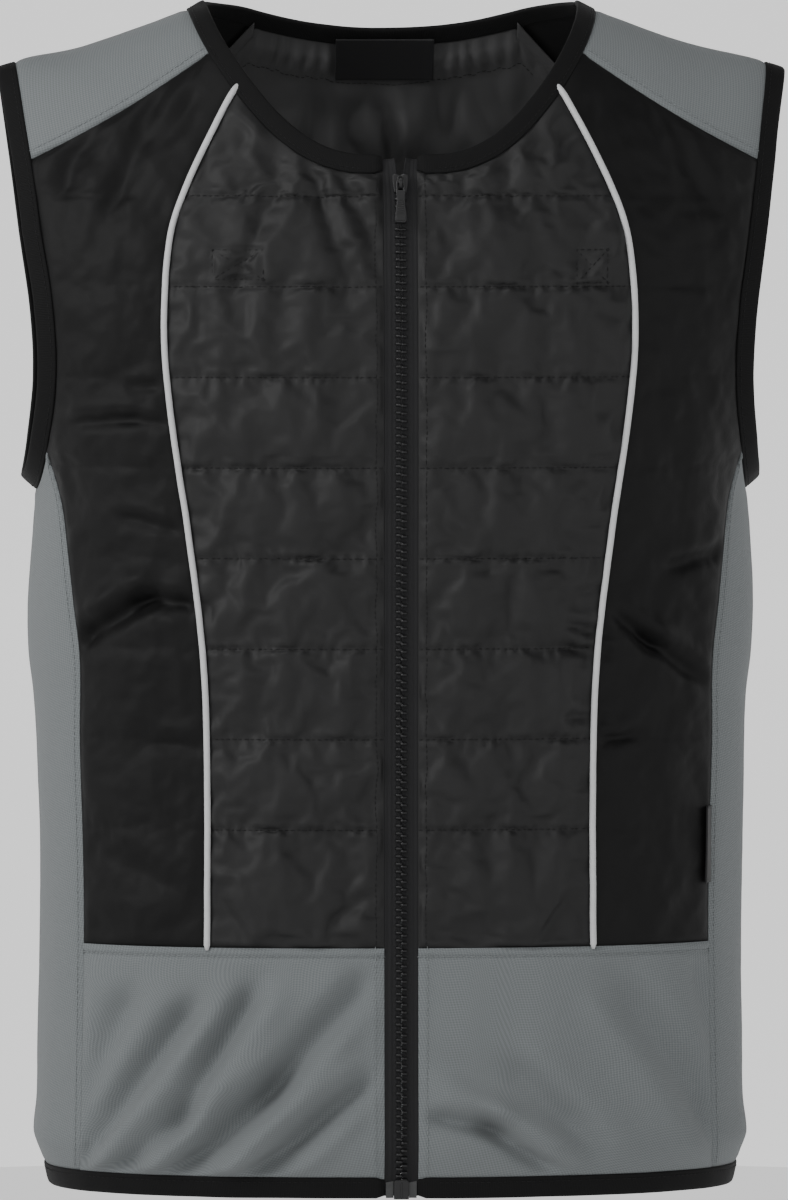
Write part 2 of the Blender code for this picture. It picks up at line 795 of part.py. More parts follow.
def armhole_binding(side, name, material, collection):
    """Band round an armhole, which turns outwards under the arm."""
    corner = armhole_turn(-SEAM_AT_ARMHOLE)
    upper = even_levels(corner, 0.0, (ARMHOLE_STEPS - PANEL_COLUMNS) // 2)
    turns = upper[:-1] + even_levels(2 * math.pi - corner, corner, PANEL_COLUMNS)
    turns += [2 * math.pi - turn for turn in reversed(upper[:-1])]
    sheet = band_sheet(armhole_at, turns, ARMHOLE_BAND, flare=ARMHOLE_FLARE, side=side)
    return add_cloth(name, sheet, BAND_WALL, 0, material, collection)


def hem_binding(name, material, collection):
    """Elastic band round the hem, open at the zip."""
    z = -(LENGTH - HEM_BAND)
    gap = angle_round(ZIP_HALF_WIDTH, z, False)

    def place(u, v):
        angle = mix(gap, 2 * math.pi - gap, u)
        level = z - SEAM_GAP - v * (HEM_BAND - SEAM_GAP)
        point = body_round(angle, level)
        crown = BAND_CROWN * 4 * v * (1 - v) - PLAIN_WALL / 2
        return point + outward(point) * crown

    sheet = lay_sheet(HEM_STEPS, 2, place)
    return add_cloth(name, sheet, BAND_WALL, 0, material, collection)


def to_mesh_piece(curve, name, material, collection):
    """A curve's tube as a closed mesh."""
    source = bpy.data.objects.new(name, curve)
    collection.objects.link(source)
    evaluated = source.evaluated_get(bpy.context.evaluated_depsgraph_get())
    mesh = bpy.data.meshes.new_from_object(evaluated)
    bpy.data.objects.remove(source)
    bpy.data.curves.remove(curve)
    welded = bmesh.new()
    welded.from_mesh(mesh)
    bmesh.ops.remove_doubles(welded, verts=welded.verts, dist=CLEARANCE / 100)
    welded.to_mesh(mesh)
    welded.free()
    mesh.materials.clear()
    return add_piece(name, mesh, material, collection)


def tube(name, points, radius, resolution):
    """A poly curve with a round section and closed ends."""
    curve = bpy.data.curves.new(name, "CURVE")
    curve.dimensions = "3D"
    curve.bevel_depth = radius
    curve.bevel_resolution = resolution
    curve.use_fill_caps = True
    spline = curve.splines.new("POLY")
    spline.points.add(len(points) - 1)
    for place, point in zip(spline.points, points):
        place.co = (*point, 1.0)
    return curve


def piping(side, name, material, collection):
    """Round cord in the seam between the two front panels."""
    top = piping_top() - SEAM_GAP
    bottom = -LOWER_SEAM + SEAM_GAP
    points = []
    for step in range(PIPING_STEPS + 1):
        z = mix(top, bottom, step / PIPING_STEPS)
        point = body(side * seam_x(PIPING_SEAM, z), z, False)
        points.append(point + outward(point) * PIPING_STAND)
    curve = tube(name, points, PIPING_RADIUS, 1)
    piece = to_mesh_piece(curve, name, material, collection)
    piece.data.shade_smooth()
    return piece


def zip_strip(name, near, far, top, bottom, stand, wall, material, collection):
    """A strip down the front between two distances from the middle, at a height off it."""
    def place(u, v):
        point = body(mix(near, far, u), mix(bottom, top, v), False)
        return point + outward(point) * stand

    sheet = lay_sheet(1, ZIP_STEPS, place)
    return add_cloth(name, sheet, wall, -1, material, collection)


def slider_frame():
    """Places the zip's slider: its middle, with local -Y off the chest and Z up along it."""
    z = neck_z(0, False) - SLIDER_DROP
    point = body(0, z, False)
    off = outward(point)
    up = (body(0, z + 0.005, False) - body(0, z - 0.005, False)).normalized()
    across = up.cross(off)
    turn = Matrix((across, -off, up)).transposed().to_4x4()
    return Matrix.Translation(point) @ turn


def box_mesh(name, low, high):
    """A block between two corners."""
    block = bmesh.new()
    bmesh.ops.create_cube(block, size=1.0)
    for vert in block.verts:
        share = vert.co + Vector((0.5, 0.5, 0.5))
        vert.co = Vector([mix(low[axis], high[axis], share[axis]) for axis in range(3)])
    mesh = bpy.data.meshes.new(name)
    block.to_mesh(mesh)
    block.free()
    return mesh


def round_edges(piece, width):
    soften = piece.modifiers.new("edges", "BEVEL")
    soften.width = width
    soften.segments = 1
    soften.limit_method = "ANGLE"


def combine(piece, other, operation):
    """Join or cut a piece with another exactly, and apply it."""
    step = piece.modifiers.new(operation.lower(), "BOOLEAN")
    step.operation = operation
    step.solver = "EXACT"
    step.object = other


def slider_face():
    return -(CHAIN_STAND + CLEARANCE + SLIDER_WALL)


def pull_axis():
    """Where the pull's bar lies in the slider's frame."""
    return Vector((0, slider_face() - PULL_WALL / 2 - CLEARANCE - PULL_BAR / 4, 0))


def zip_slider(name, material, collection, cutters):
    """Slider plate with the loop that holds the pull."""
    half_x = SLIDER_WIDTH / 2
    half_z = SLIDER_HEIGHT / 2
    back = -(CHAIN_STAND + CLEARANCE)
    plate = add_piece(name, box_mesh(name, (-half_x, slider_face(), -half_z), (half_x, back, half_z)),
                      material, collection)
    round_edges(plate, SLIDER_WALL / 4)
    axis = pull_axis()
    points = [Vector((0, slider_face() + SLIDER_WALL / 2, BRIDGE_RADIUS))]
    arc_steps = 8
    for step in range(arc_steps + 1):
        turn = math.pi * step / arc_steps
        points.append(axis + BRIDGE_RADIUS * Vector((0, -math.sin(turn), math.cos(turn))))
    points.append(Vector((0, slider_face() + SLIDER_WALL / 2, -BRIDGE_RADIUS)))
    loop = to_mesh_piece(tube("bridge", points, BRIDGE_WIRE, 1), "bridge", material, cutters)
    loop.hide_render = True
    loop.display_type = "WIRE"
    combine(plate, loop, "UNION")
    plate.matrix_world = slider_frame()
    loop.matrix_world = slider_frame()
    return plate


def zip_pull(name, material, collection, cutters):
    """Pull tab that swings on the slider's loop, its origin on the bar's axis."""
    half = PULL_WIDTH / 2
    low = (-half, -PULL_WALL / 2, -PULL_LENGTH)
    high = (half, PULL_WALL / 2, PULL_BAR / 2)
    pull = add_piece(name, box_mesh(name, low, high), material, collection)
    window_half = PULL_WINDOW_WIDTH / 2
    window_low = (-window_half, -PULL_WALL, -PULL_BAR / 2 - PULL_WINDOW)
    window_high = (window_half, PULL_WALL, -PULL_BAR / 2)
    window = add_piece("pull_window", box_mesh("pull_window", window_low, window_high),
                       material, cutters)
    window.hide_render = True
    window.display_type = "WIRE"
    combine(pull, window, "DIFFERENCE")
    round_edges(pull, PULL_WALL / 6)
    place = slider_frame() @ Matrix.Translation(pull_axis())
    pull.matrix_world = place
    window.matrix_world = place
    return pull


def zip_box(name, material, collection):
    """Box at the zip's lower end, in front of the tapes' ends."""
    top = -LENGTH + BOX_HEIGHT
    point = body(0, -LENGTH + BOX_HEIGHT / 2, False)
    half = BOX_WIDTH / 2
    low = (-half, point.y - BOX_WALL / 2, -LENGTH)
    high = (half, point.y + BOX_WALL / 2, top)
    piece = add_piece(name, box_mesh(name, low, high), material, collection)
    round_edges(piece, BOX_WALL / 8)
    return piece


def neck_label(name, material, collection):
    """Label inside the back of the neck, hanging from its band."""
    depth = QUILTED_WALL + CLEARANCE

    def place(u, v):
        x = mix(-0.5, 0.5, u) * NECK_LABEL_WIDTH
        top = neck_z(x, True) - SEAM_GAP
        point = body(x, top - (1 - v) * NECK_LABEL_HEIGHT, True)
        return point - outward(point) * depth

    sheet = lay_sheet(8, 3, place)
    return add_cloth(name, sheet, LABEL_WALL, -1, material, collection)


def side_label(name, material, collection):
    """Small label in the left side seam, lying forward over the quilting."""
    def place(u, v):
        z = -SIDE_LABEL_TOP - (1 - v) * SIDE_LABEL_HEIGHT
        x = beside(seam_x(SIDE_SEAM, z), z, -SEAM_GAP / 2 - (1 - u) * SIDE_LABEL_WIDTH)
        point = body(x, z, False)
        return point + outward(point) * (CLEARANCE + LABEL_WALL + PUFF * (1 - u) * 0.8)

    sheet = lay_sheet(2, 4, place)
    return add_cloth(name, sheet, LABEL_WALL, -1, material, collection)


def build():
    clear_scene()
    vest = bpy.data.collections.new("cooling_vest")
    cutters = bpy.data.collections.new("cutters")
    for collection in (vest, cutters):
        bpy.context.scene.collection.children.link(collection)
    finish = make_finishes()
    for side, hand in ((1, "left"), (-1, "right")):
        front_centre(side, "front_centre_" + hand, finish["black_nylon"], vest)
        front_side(side, "front_side_" + hand, finish["black_nylon"], vest)
        piping(side, "piping_" + hand, finish["silver_piping"], vest)
        yoke(side, "yoke_" + hand, finish["grey_knit"], vest)
        side_panel(side, "side_panel_" + hand, finish["grey_knit"], vest)
        front_band(side, "front_band_" + hand, finish["grey_knit"], vest)
        armhole_binding(side, "armhole_binding_" + hand, finish["black_binding"], vest)
        zip_strip("zip_tape_" + hand, side * CLEARANCE, side * (ZIP_HALF_WIDTH + TAPE_OVERLAP),
                  neck_z(0, False) - SEAM_GAP, -(LENGTH - HEM_BAND) + CLEARANCE,
                  -(QUILTED_WALL + CLEARANCE), TAPE_WALL, finish["zip_tape"], vest)
    back_panel("back_panel", finish["black_nylon"], vest)
    back_band("back_band", finish["grey_knit"], vest)
    neck_binding("neck_binding", finish["black_binding"], vest)
    hem_binding("hem_binding", finish["black_binding"], vest)
    zip_strip("zip_chain", -CHAIN_HALF_WIDTH, CHAIN_HALF_WIDTH,
              neck_z(0, False) - SLIDER_DROP, -(LENGTH - HEM_BAND) + CLEARANCE,
              CHAIN_STAND, CHAIN_WALL, finish["black_plastic"], vest)
    zip_slider("zip_slider", finish["black_plastic"], vest, cutters)
    zip_pull("zip_pull", finish["black_plastic"], vest, cutters)
    zip_box("zip_box", finish["black_plastic"], vest)
    neck_label("neck_label", finish["black_label"], vest)
    side_label("side_label", finish["black_label"], vest)


build()
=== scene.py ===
"""Looks of the cooling vest: quilted nylon, plain knit, bound edges, corded piping, moulded zip.

Metres, +Z up, the front facing -Y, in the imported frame. The sizes and tables that shape the
body repeat those of the part's source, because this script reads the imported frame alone.
"""
import math
from collections import namedtuple
from functools import lru_cache

import bmesh
import bpy
import numpy as np
from mathutils import Matrix, Vector, noise


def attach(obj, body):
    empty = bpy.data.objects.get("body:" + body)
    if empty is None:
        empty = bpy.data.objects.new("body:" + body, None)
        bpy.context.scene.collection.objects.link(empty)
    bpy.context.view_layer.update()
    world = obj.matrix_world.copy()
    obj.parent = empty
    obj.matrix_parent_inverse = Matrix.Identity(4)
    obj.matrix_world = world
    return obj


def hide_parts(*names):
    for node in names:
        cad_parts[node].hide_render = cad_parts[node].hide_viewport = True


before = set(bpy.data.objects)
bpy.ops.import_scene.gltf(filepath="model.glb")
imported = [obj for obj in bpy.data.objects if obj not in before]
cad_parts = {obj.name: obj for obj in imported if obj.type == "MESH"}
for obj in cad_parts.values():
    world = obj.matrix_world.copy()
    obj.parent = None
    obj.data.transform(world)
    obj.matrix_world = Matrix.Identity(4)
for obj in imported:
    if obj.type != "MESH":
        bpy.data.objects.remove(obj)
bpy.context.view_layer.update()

# The body of the vest
LENGTH = 0.675                # from the shoulders down to the hem
CHEST_HALF_WIDTH = 0.212
CHEST_HALF_DEPTH = 0.122
BODY_ROUNDNESS = 2.4          # 2 is an ellipse from above, more is squarer
DOME_FOOT = 0.250             # how far down the body starts to close towards the shoulders
DOME_ROUNDNESS = 2.3          # the same as BODY_ROUNDNESS, seen from the side
SHOULDER_FALL = 0.0378
SHOULDER_HALF_WIDTH = 0.2205
BACK_EASE = 0.20              # how far out the back's shoulder line is eased, of that width

# Its openings and seams
NECK_HALF_WIDTH = 0.1186
NECK_FRONT = 0.1045
NECK_BACK = 0.074
NECK_FRONT_ROUNDNESS = 2.7
NECK_BACK_ROUNDNESS = 2.1
ARMHOLE_BOTTOM = 0.2678
SEAM_AT_ARMHOLE = 0.2448
LOWER_SEAM = 0.530
QUILT_TOP = 0.0965
QUILT_PITCH = 0.0522
QUILT_ROWS = 8
LAST_ROW = QUILT_TOP + (QUILT_ROWS - 1) * QUILT_PITCH
YOKE_FRONT_AT_NECK = 0.1079
YOKE_BACK_AT_NECK = 0.077
YOKE_FRONT_AT_ARM = 0.0757
YOKE_BACK_AT_ARM = 0.100
YOKE_FRONT_BOW = 0.003
YOKE_BACK_BOW = 0.012

# Cloth
CELL = 0.0033                 # between the threads of a quilted panel's simulated grid
BACK_CELL = 0.0046
KNIT_CELL = 0.0045
QUILTED_WALL = 0.0026
EDGE_WALL = 0.0012            # of a quilted panel where it is sewn down
KNIT_WALL = 0.0011
THINNEST_PAD = 0.0010         # between the nylon and its lining, where the nylon is dented in
PUFF = 0.0034                 # how far the filling swells between the stitch rows
LINING_PUFF = 0.0012
LINING_SEAM = 0.0255          # from the back's neck edge down to the stitched row in its lining
SEAM_TOPSTITCH = 0.0052       # from the lower seam down to its row of stitches
TOPSTITCH_DIP = 0.0007
TOPSTITCH_WIDTH = 0.0016
SEAM_LIFT = 0.00055           # of the layers folded back between that row and the seam
SEAM_LIFT_WIDTH = 0.0015
SIDE_TOPSTITCH = 0.0040
YOKE_TOPSTITCH = 0.0050
STITCH_DIP = 0.0010           # how far a row of stitches pulls the cloth in
SEAM_ROLL = 0.0014            # how far a panel's edge rolls down into its seam
SEAM_ROLL_WIDTH = 0.0016
FOLD_DEPTH = 0.0060
FOLD_WIDTH = 0.0200
FOLD_RIDGE = 0.45             # of the roll of cloth above a fold's valley, as a share of its depth

# How far in from a panel's edge its shape eases down to the seam
FILLING_EASE = 0.006
FOLD_EASE = 0.0045
PUCKER_EASE = 0.004
PAD_EASE = 0.008
KNIT_EASE = 0.006

# Unevenness of the cloth: a crease's valleys and a pucker's gathers, and waves of a height and a
# size. stretch below 1 draws the waves out along an axis.
PUFF_ROUNDNESS = 0.6
CREASE_DEPTH = 0.0026
CREASE_SIZE = 0.023
CRUMPLE_AT_ROW = 0.6          # of the crumples that a row of stitches leaves
FINE_CREASE = 0.00022
PUCKER = 0.0026
PUCKER_PITCH = 0.0072
PUCKER_REACH = 0.0048
LINING_PUCKER = 0.00045
GATHER_PITCH = 0.0092
UPPER_GATHERS = 0.0032        # their height
UPPER_GATHERS_AT = 0.013      # below the neck's edge
UPPER_GATHERS_REACH = 0.009
LOWER_GATHERS = 0.0150
LOWER_GATHERS_AT = 0.060
LOWER_GATHERS_REACH = 0.032
LINING_SEAM_DIP = 0.0014
LINING_SEAM_WIDTH = 0.0016
KNIT_FOLDING = 1.25           # depth of the knit's folds, as a share of what their table says
KNIT_ROLL = 0.8
EVENLY = (1.0, 1.0, 1.0)
UPRIGHT = (1.0, 1.0, 0.55)
Ripple = namedtuple("Ripple", "height size seed stretch")
UNEVEN = (Ripple(0.0007, 0.012, 0, EVENLY), Ripple(0.0005, 0.006, 1, EVENLY))
CRUMPLES = (Ripple(0.0030, 0.019, 3, UPRIGHT),)
LINING_UNEVEN = (Ripple(0.0006, 0.016, 7, EVENLY),)
KNIT_UNEVEN = (Ripple(0.0016, 0.040, 0, (1.0, 1.0, 0.4)), Ripple(0.00012, 0.010, 1, EVENLY))

# Simulated swelling
SWELL_FRAMES = 20
SWELL_CAP = 0.0042            # how far the nylon can move
SPARE_CLOTH = 0.06            # how much more cloth there is than room between the rows
NYLON_CLOTH = {
    "quality": 5, "mass": 0.3, "tension_stiffness": 15, "compression_stiffness": 15,
    "shear_stiffness": 5, "bending_stiffness": 0.05, "vertex_group_mass": "stitched",
    "use_pressure": True, "uniform_pressure_force": 2.6, "shrink_min": -SPARE_CLOTH,
}

# Bound edges and piping
NECK_BAND = 0.0105
ARMHOLE_BAND = 0.0110
HEM_BAND = 0.0115
BAND_WALL = 0.0034
BAND_LAP = 0.0010             # of the band over the cloth
BAND_SINK = 0.0011
BAND_CAP = 0.72               # of its section that the band narrows to at an open end
BAND_WAVE = 11 / 60           # how much its thickness varies, as a share
ARMHOLE_FLARE = 1.0
STITCH_SIDES = 4
STITCH_LENGTH = 0.0027
STITCH_WIDTH = 0.00042
STITCH_RISE = 0.00035
QUILT_STITCH_PITCH = 0.0036
EDGE_STITCH_PITCH = 0.0034
BAND_STITCH = 0.0018          # from the band's inner edge to its row of stitches
PIPING_RADIUS = 0.0019
PIPING_STAND = 0.0010
PIPING_TUCK = 0.0035          # how far its top end goes down under the neck binding

# Zip
ZIP_HALF_WIDTH = 0.0098
TAPE_SINK = 0.0016
TAPE_WALL = 0.0006
TAPE_UNDER = 0.0035           # of the tape behind the cloth beside it
TAPE_GAP = 0.0004             # half the gap between the two tapes, under the teeth
TAPE_PARTING = 0.0034         # how far each turns away from the middle at the neck
PARTING_STARTS = 0.020        # below the neck's edge
PARTING_LENGTH = 0.030
TAPE_BEAD = 0.0004
TAPE_CURLS = {1: 0.0024, -1: 0.0012}
TAPE_RIB = 0.00012
TOOTH_PITCH = 0.0044
TOOTH_HALF = 0.0011           # half a tooth's height off the tapes
TOOTH_CENTRE = 0.0013
ZIP_TOPSTITCH = 0.0052        # from the zip's edge to the row of stitches beside it
SLIDER_DROP = 0.0085
PULL_AXIS = -0.0048           # of its hinge, off the middle of the chain
PULL_HALF_WALL = 0.0008
BOX_HEIGHT = 0.0112
BOX_WIDTH = 0.0086

# Labels
NECK_LABEL_WIDTH = 0.058
NECK_LABEL_HEIGHT = 0.0225
NECK_LABEL_TUCK = 0.0015      # of the label up under the neck binding
NECK_LABEL_STAND = 0.0092     # off the body, in to the wearer's neck
NECK_LABEL_LEAN = 0.0020
NECK_LABEL_BOW = 0.0030
NECK_LABEL_WALL = 0.00055
NECK_LABEL_FOLD = 0.006       # width of the cloth folded under at each side
NECK_LABEL_FOLD_WALL = 0.0004
SIDE_LABEL_WIDTH = 0.0085
SIDE_LABEL_HEIGHT = 0.0446
SIDE_LABEL_TOP = 0.4510
SEAM_TAPE_STAND = 0.0036

# Camera: where it stands round the vest, and the point of the vest that its middle looks at
CAMERA_TURN = -3.0            # degrees
CAMERA_RISE = 2.4
CAMERA_REACH = 7.0
CAMERA_LEVEL = -0.334
CAMERA_ASIDE = 0.00205
FLOOR_RADIUS = 9.0
SWEEP = 3.0                   # radius of the floor's turn up into the backdrop
FLOOR_GLOW = 0.95
FLOOR_BELOW_HEM = 0.060       # the vest hangs in its worn shape above the floor
FRAME_HEIGHT = 0.703          # of what the photograph takes in at the vest's middle

# Soft square lights, all aimed at the vest's middle: place and size in metres, power in watts
Lamp = namedtuple("Lamp", "name place size power")
LIGHTS = (
    Lamp("key", (-2.05, -1.35, 0.9), 1.1, 31.0),
    Lamp("fill", (-0.4, -3.2, 0.8), 1.0, 2.5),
    Lamp("top", (-0.5, -1.1, 2.2), 0.9, 25.0),
)

# Level sections of the body: drop is a share of LENGTH, the half width is a share of
# CHEST_HALF_WIDTH, and front and back are shares of CHEST_HALF_DEPTH.
Section = namedtuple("Section", "drop width front back")
SECTIONS = (
    Section(-0.05, 1.133, 0.970, 0.960),
    Section(0.110, 1.125, 0.985, 0.975),
    Section(0.171, 1.118, 0.993, 0.985),
    Section(0.236, 1.104, 1.000, 0.985),
    Section(0.297, 1.056, 1.003, 0.975),
    Section(0.352, 1.010, 1.003, 0.965),
    Section(0.394, 0.983, 1.000, 0.950),
    Section(0.433, 0.989, 0.996, 0.930),
    Section(0.491, 1.000, 0.990, 0.905),
    Section(0.538, 0.998, 0.983, 0.885),
    Section(0.576, 0.986, 0.978, 0.875),
    Section(0.646, 0.978, 0.976, 0.875),
    Section(0.704, 0.972, 0.980, 0.895),
    Section(0.800, 0.970, 0.992, 0.935),
    Section(0.885, 0.976, 1.005, 0.975),
    Section(0.925, 0.979, 1.018, 1.000),
    Section(0.956, 0.988, 1.026, 1.016),
    Section(0.969, 0.974, 1.012, 1.004),
    Section(0.980, 0.960, 0.994, 0.988),
    Section(1.000, 0.944, 0.976, 0.970),
)

# The shoulder line from the middle outwards: out is a share of SHOULDER_HALF_WIDTH, rise of
# SHOULDER_FALL above the origin. Inside the neck it is only a guide.
Ridge = namedtuple("Ridge", "out rise")
SHOULDER_LINE = (
    Ridge(0.000, 1.190),
    Ridge(0.370, 0.760),
    Ridge(0.538, 0.317),
    Ridge(0.685, -0.016),
    Ridge(0.823, -0.272),
    Ridge(0.952, -0.423),
    Ridge(1.014, -0.534),
    Ridge(1.090, -0.650),
)

# Seams down the body: drop is a share of LENGTH, out of CHEST_HALF_WIDTH.
Seam = namedtuple("Seam", "drop out")
PIPING_SEAM = (
    Seam(0.000, 0.340),
    Seam(0.058, 0.456),
    Seam(0.138, 0.583),
    Seam(0.183, 0.626),
    Seam(0.259, 0.641),
    Seam(0.327, 0.624),
    Seam(0.440, 0.572),
    Seam(0.542, 0.535),
    Seam(0.644, 0.525),
    Seam(0.787, 0.526),
)
SIDE_SEAM = (
    Seam(0.360, 0.9624),
    Seam(0.406, 0.920),
    Seam(0.457, 0.901),
    Seam(0.491, 0.889),
    Seam(0.542, 0.871),
    Seam(0.611, 0.871),
    Seam(0.704, 0.863),
    Seam(0.787, 0.861),
    Seam(1.000, 0.873),
)

# The armhole seen from the front: drop is a share of ARMHOLE_BOTTOM, and out a share of the
# body's own half width at that level, which it reaches at the bottom.
ARMHOLE_EDGE = (
    Seam(0.076, 0.921),
    Seam(0.290, 0.890),
    Seam(0.419, 0.875),
    Seam(0.597, 0.857),
    Seam(0.762, 0.890),
    Seam(0.907, 0.953),
    Seam(1.000, 1.000),
)

# Folds seen from the front, each a valley along a line, or a ridge where its depth is
# negative. side is 1 on the wearer's left and -1 on the right. out and drop are shares of
# CHEST_HALF_WIDTH and LENGTH, width and depth of FOLD_WIDTH and FOLD_DEPTH.
Fold = namedtuple("Fold", "side out drop end_out end_drop width depth")
NYLON_FOLDS = (
    Fold(-1, 0.57, 0.492, 0.70, 0.490, 0.55, 1.0),
    Fold(-1, 0.70, 0.490, 0.865, 0.523, 0.60, 1.2),
    Fold(-1, 0.765, 0.335, 0.86, 0.337, 0.42, 0.6),
    Fold(-1, 0.645, 0.337, 0.72, 0.334, 0.36, 0.5),
    Fold(-1, 0.68, 0.305, 0.72, 0.305, 0.30, 0.4),
    Fold(-1, 0.63, 0.427, 0.73, 0.419, 0.36, 0.45),
    Fold(-1, 0.54, 0.614, 0.64, 0.612, 0.50, 0.4),
    Fold(-1, 0.66, 0.728, 0.75, 0.712, 0.80, 0.5),
    Fold(-1, 0.82, 0.062, 0.90, 0.128, 0.7, 0.7),
    Fold(-1, 0.66, 0.062, 0.76, 0.138, 0.7, 0.6),
    Fold(-1, 0.56, 0.064, 0.61, 0.085, 0.6, 0.5),
    Fold(-1, 0.16, 0.122, 0.06, 0.200, 0.7, 0.6),
    Fold(-1, 0.25, 0.104, 0.15, 0.210, 0.6, 0.6),
    Fold(-1, 0.35, 0.146, 0.44, 0.215, 0.6, 0.4),
    Fold(1, 0.615, 0.508, 0.69, 0.526, 0.45, 0.8),
    Fold(1, 0.69, 0.526, 0.80, 0.552, 0.50, 0.8),
    Fold(1, 0.48, 0.512, 0.55, 0.516, 0.35, 0.6),
    Fold(1, 0.47, 0.530, 0.55, 0.534, 0.35, 0.5),
    Fold(1, 0.47, 0.588, 0.54, 0.590, 0.35, 0.4),
    Fold(1, 0.76, 0.460, 0.86, 0.452, 0.50, 0.5),
    Fold(1, 0.58, 0.608, 0.62, 0.606, 0.40, 0.5),
    Fold(1, 0.74, 0.078, 0.83, 0.138, 0.7, 0.5),
)
Square = namedtuple("Square", "side out drop width height depth")
SQUARES = (
    Square(-1, 0.094, 0.136, 0.029, 0.017, 0.0016),
    Square(1, 0.111, 0.137, 0.018, 0.019, 0.0007),
)
KNIT_FOLDS = (
    Fold(-1, 0.77, 0.984, 0.60, 0.933, 0.80, 1.1),
    Fold(-1, 0.60, 0.933, 0.43, 0.840, 0.70, 1.0),
    Fold(-1, 0.64, 0.993, 0.35, 0.907, 0.90, 1.2),
    Fold(-1, 0.35, 0.907, 0.14, 0.828, 0.80, 0.9),
    Fold(-1, 0.42, 0.985, 0.13, 0.908, 0.70, 1.1),
    Fold(-1, 0.92, 0.955, 0.76, 0.842, 0.80, 0.8),
    Fold(-1, 0.90, 0.985, 0.60, 0.850, 0.80, 0.9),
    Fold(-1, 0.84, 0.985, 0.56, 0.865, 0.80, -0.7),
    Fold(-1, 0.68, 0.975, 0.36, 0.840, 0.90, -0.8),
    Fold(-1, 0.50, 0.985, 0.18, 0.868, 0.90, -0.8),
    Fold(-1, 0.30, 0.985, 0.16, 0.940, 0.70, -0.5),
    Fold(1, 0.12, 0.932, 0.25, 0.940, 0.55, 0.8),
    Fold(1, 0.25, 0.940, 0.38, 0.972, 0.60, 1.1),
    Fold(1, 0.34, 0.897, 0.52, 0.955, 0.8, 0.6),
    Fold(1, 0.66, 0.840, 0.90, 0.948, 1.0, 0.7),
    Fold(1, 0.84, 0.819, 0.90, 0.897, 0.8, 0.5),
    Fold(1, 0.14, 0.905, 0.42, 0.950, 0.8, -0.5),
    Fold(1, 0.56, 0.850, 0.80, 0.955, 0.9, -0.5),
)


def read(rows, at, key, value):
    """Read one column of a table at a place on another, on a smooth curve through its rows."""
    keys = [getattr(row, key) for row in rows]
    values = [getattr(row, value) for row in rows]
    if at <= keys[0]:
        return values[0]
    if at >= keys[-1]:
        return values[-1]
    low = max(index for index in range(len(keys) - 1) if keys[index] <= at)

    def slope(index):
        before = max(index - 1, 0)
        after = min(index + 1, len(keys) - 1)
        return (values[after] - values[before]) / (keys[after] - keys[before])

    span = keys[low + 1] - keys[low]
    t = (at - keys[low]) / span
    start = values[low] * (1 + 2 * t) * (1 - t) ** 2 + slope(low) * span * t * (1 - t) ** 2
    end = values[low + 1] * (3 - 2 * t) * t ** 2 - slope(low + 1) * span * (1 - t) * t ** 2
    return start + end


def hand_of(side):
    """The wearer's hand on that side."""
    return "left" if side > 0 else "right"


def mix(a, b, share):
    """The value or point that lies a share of the way from a to b."""
    return a + (b - a) * share


def even(count):
    """Even shares from 0 to 1."""
    return [step / count for step in range(count + 1)]


# The surface of the body

def half_width(z):
    return CHEST_HALF_WIDTH * read(SECTIONS, -z / LENGTH, "drop", "width")


def half_depth(z, back):
    column = "back" if back else "front"
    return CHEST_HALF_DEPTH * read(SECTIONS, -z / LENGTH, "drop", column)


def ridge(x, back=False):
    """Height of the shoulder line at a distance from the middle; the back runs smoothly across."""
    out = abs(x) / SHOULDER_HALF_WIDTH
    if back and out < BACK_EASE:
        out = BACK_EASE / 2 + out * out / (2 * BACK_EASE)
    return SHOULDER_FALL * read(SHOULDER_LINE, out, "out", "rise")


def narrowing(x, z, back=False):
    """Share of the depth that is left as the body closes towards the shoulders."""
    rise = min(max((z + DOME_FOOT) / (ridge(x, back) + DOME_FOOT), 0.0), 1.0)
    return (1 - rise ** DOME_ROUNDNESS) ** (1 / DOME_ROUNDNESS)


def fullness(x, z):
    """Depth at x as a share of the depth in the middle of a level section."""
    across = min(abs(x) / half_width(z), 1.0)
    return (1 - across ** BODY_ROUNDNESS) ** (1 / BODY_ROUNDNESS)


def body_y(x, z, back):
    reach = half_depth(z, back) * fullness(x, z) * narrowing(x, z, back)
    return reach if back else -reach


def body(x, z, back):
    return Vector((x, body_y(x, z, back), z))


def on_side(side, point):
    """A point of the wearer's left, moved across to the right where side is -1."""
    return Vector((side * point.x, point.y, point.z))


def body_from_above(x, y):
    """The point of the shoulders above a place in plan."""
    z = 0.0
    for _ in range(8):
        reach = half_depth(z, y > 0) * fullness(x, z)
        rise = (1 - min(abs(y) / reach, 1.0) ** DOME_ROUNDNESS) ** (1 / DOME_ROUNDNESS)
        z = -DOME_FOOT + (ridge(x, y > 0) + DOME_FOOT) * rise
    return Vector((x, y, z))


def body_round(angle, z):
    """The point at an angle round the body, 0 in front, 90 under the left arm, 180 behind."""
    power = 2 / BODY_ROUNDNESS
    sine = math.sin(angle)
    x = math.copysign(half_width(z) * abs(sine) ** power, sine)
    back = math.cos(angle) < 0
    reach = half_depth(z, back) * abs(math.cos(angle)) ** power
    reach *= narrowing(x, z)
    return Vector((x, reach if back else -reach, z))


def angle_round(x, z, back):
    """The angle round the body at which its level section reaches x."""
    share = min(abs(x) / half_width(z), 1.0)
    angle = math.asin(share ** (BODY_ROUNDNESS / 2))
    angle = math.pi - angle if back else angle
    return math.copysign(angle, x)


def outside(point):
    """Grows across the surface of the body, from below 0 inside it to above 0 outside."""
    x, y, z = point
    depth = half_depth(z, y > 0)
    return (abs(y) / depth) ** DOME_ROUNDNESS - (fullness(x, z) * narrowing(x, z)) ** DOME_ROUNDNESS


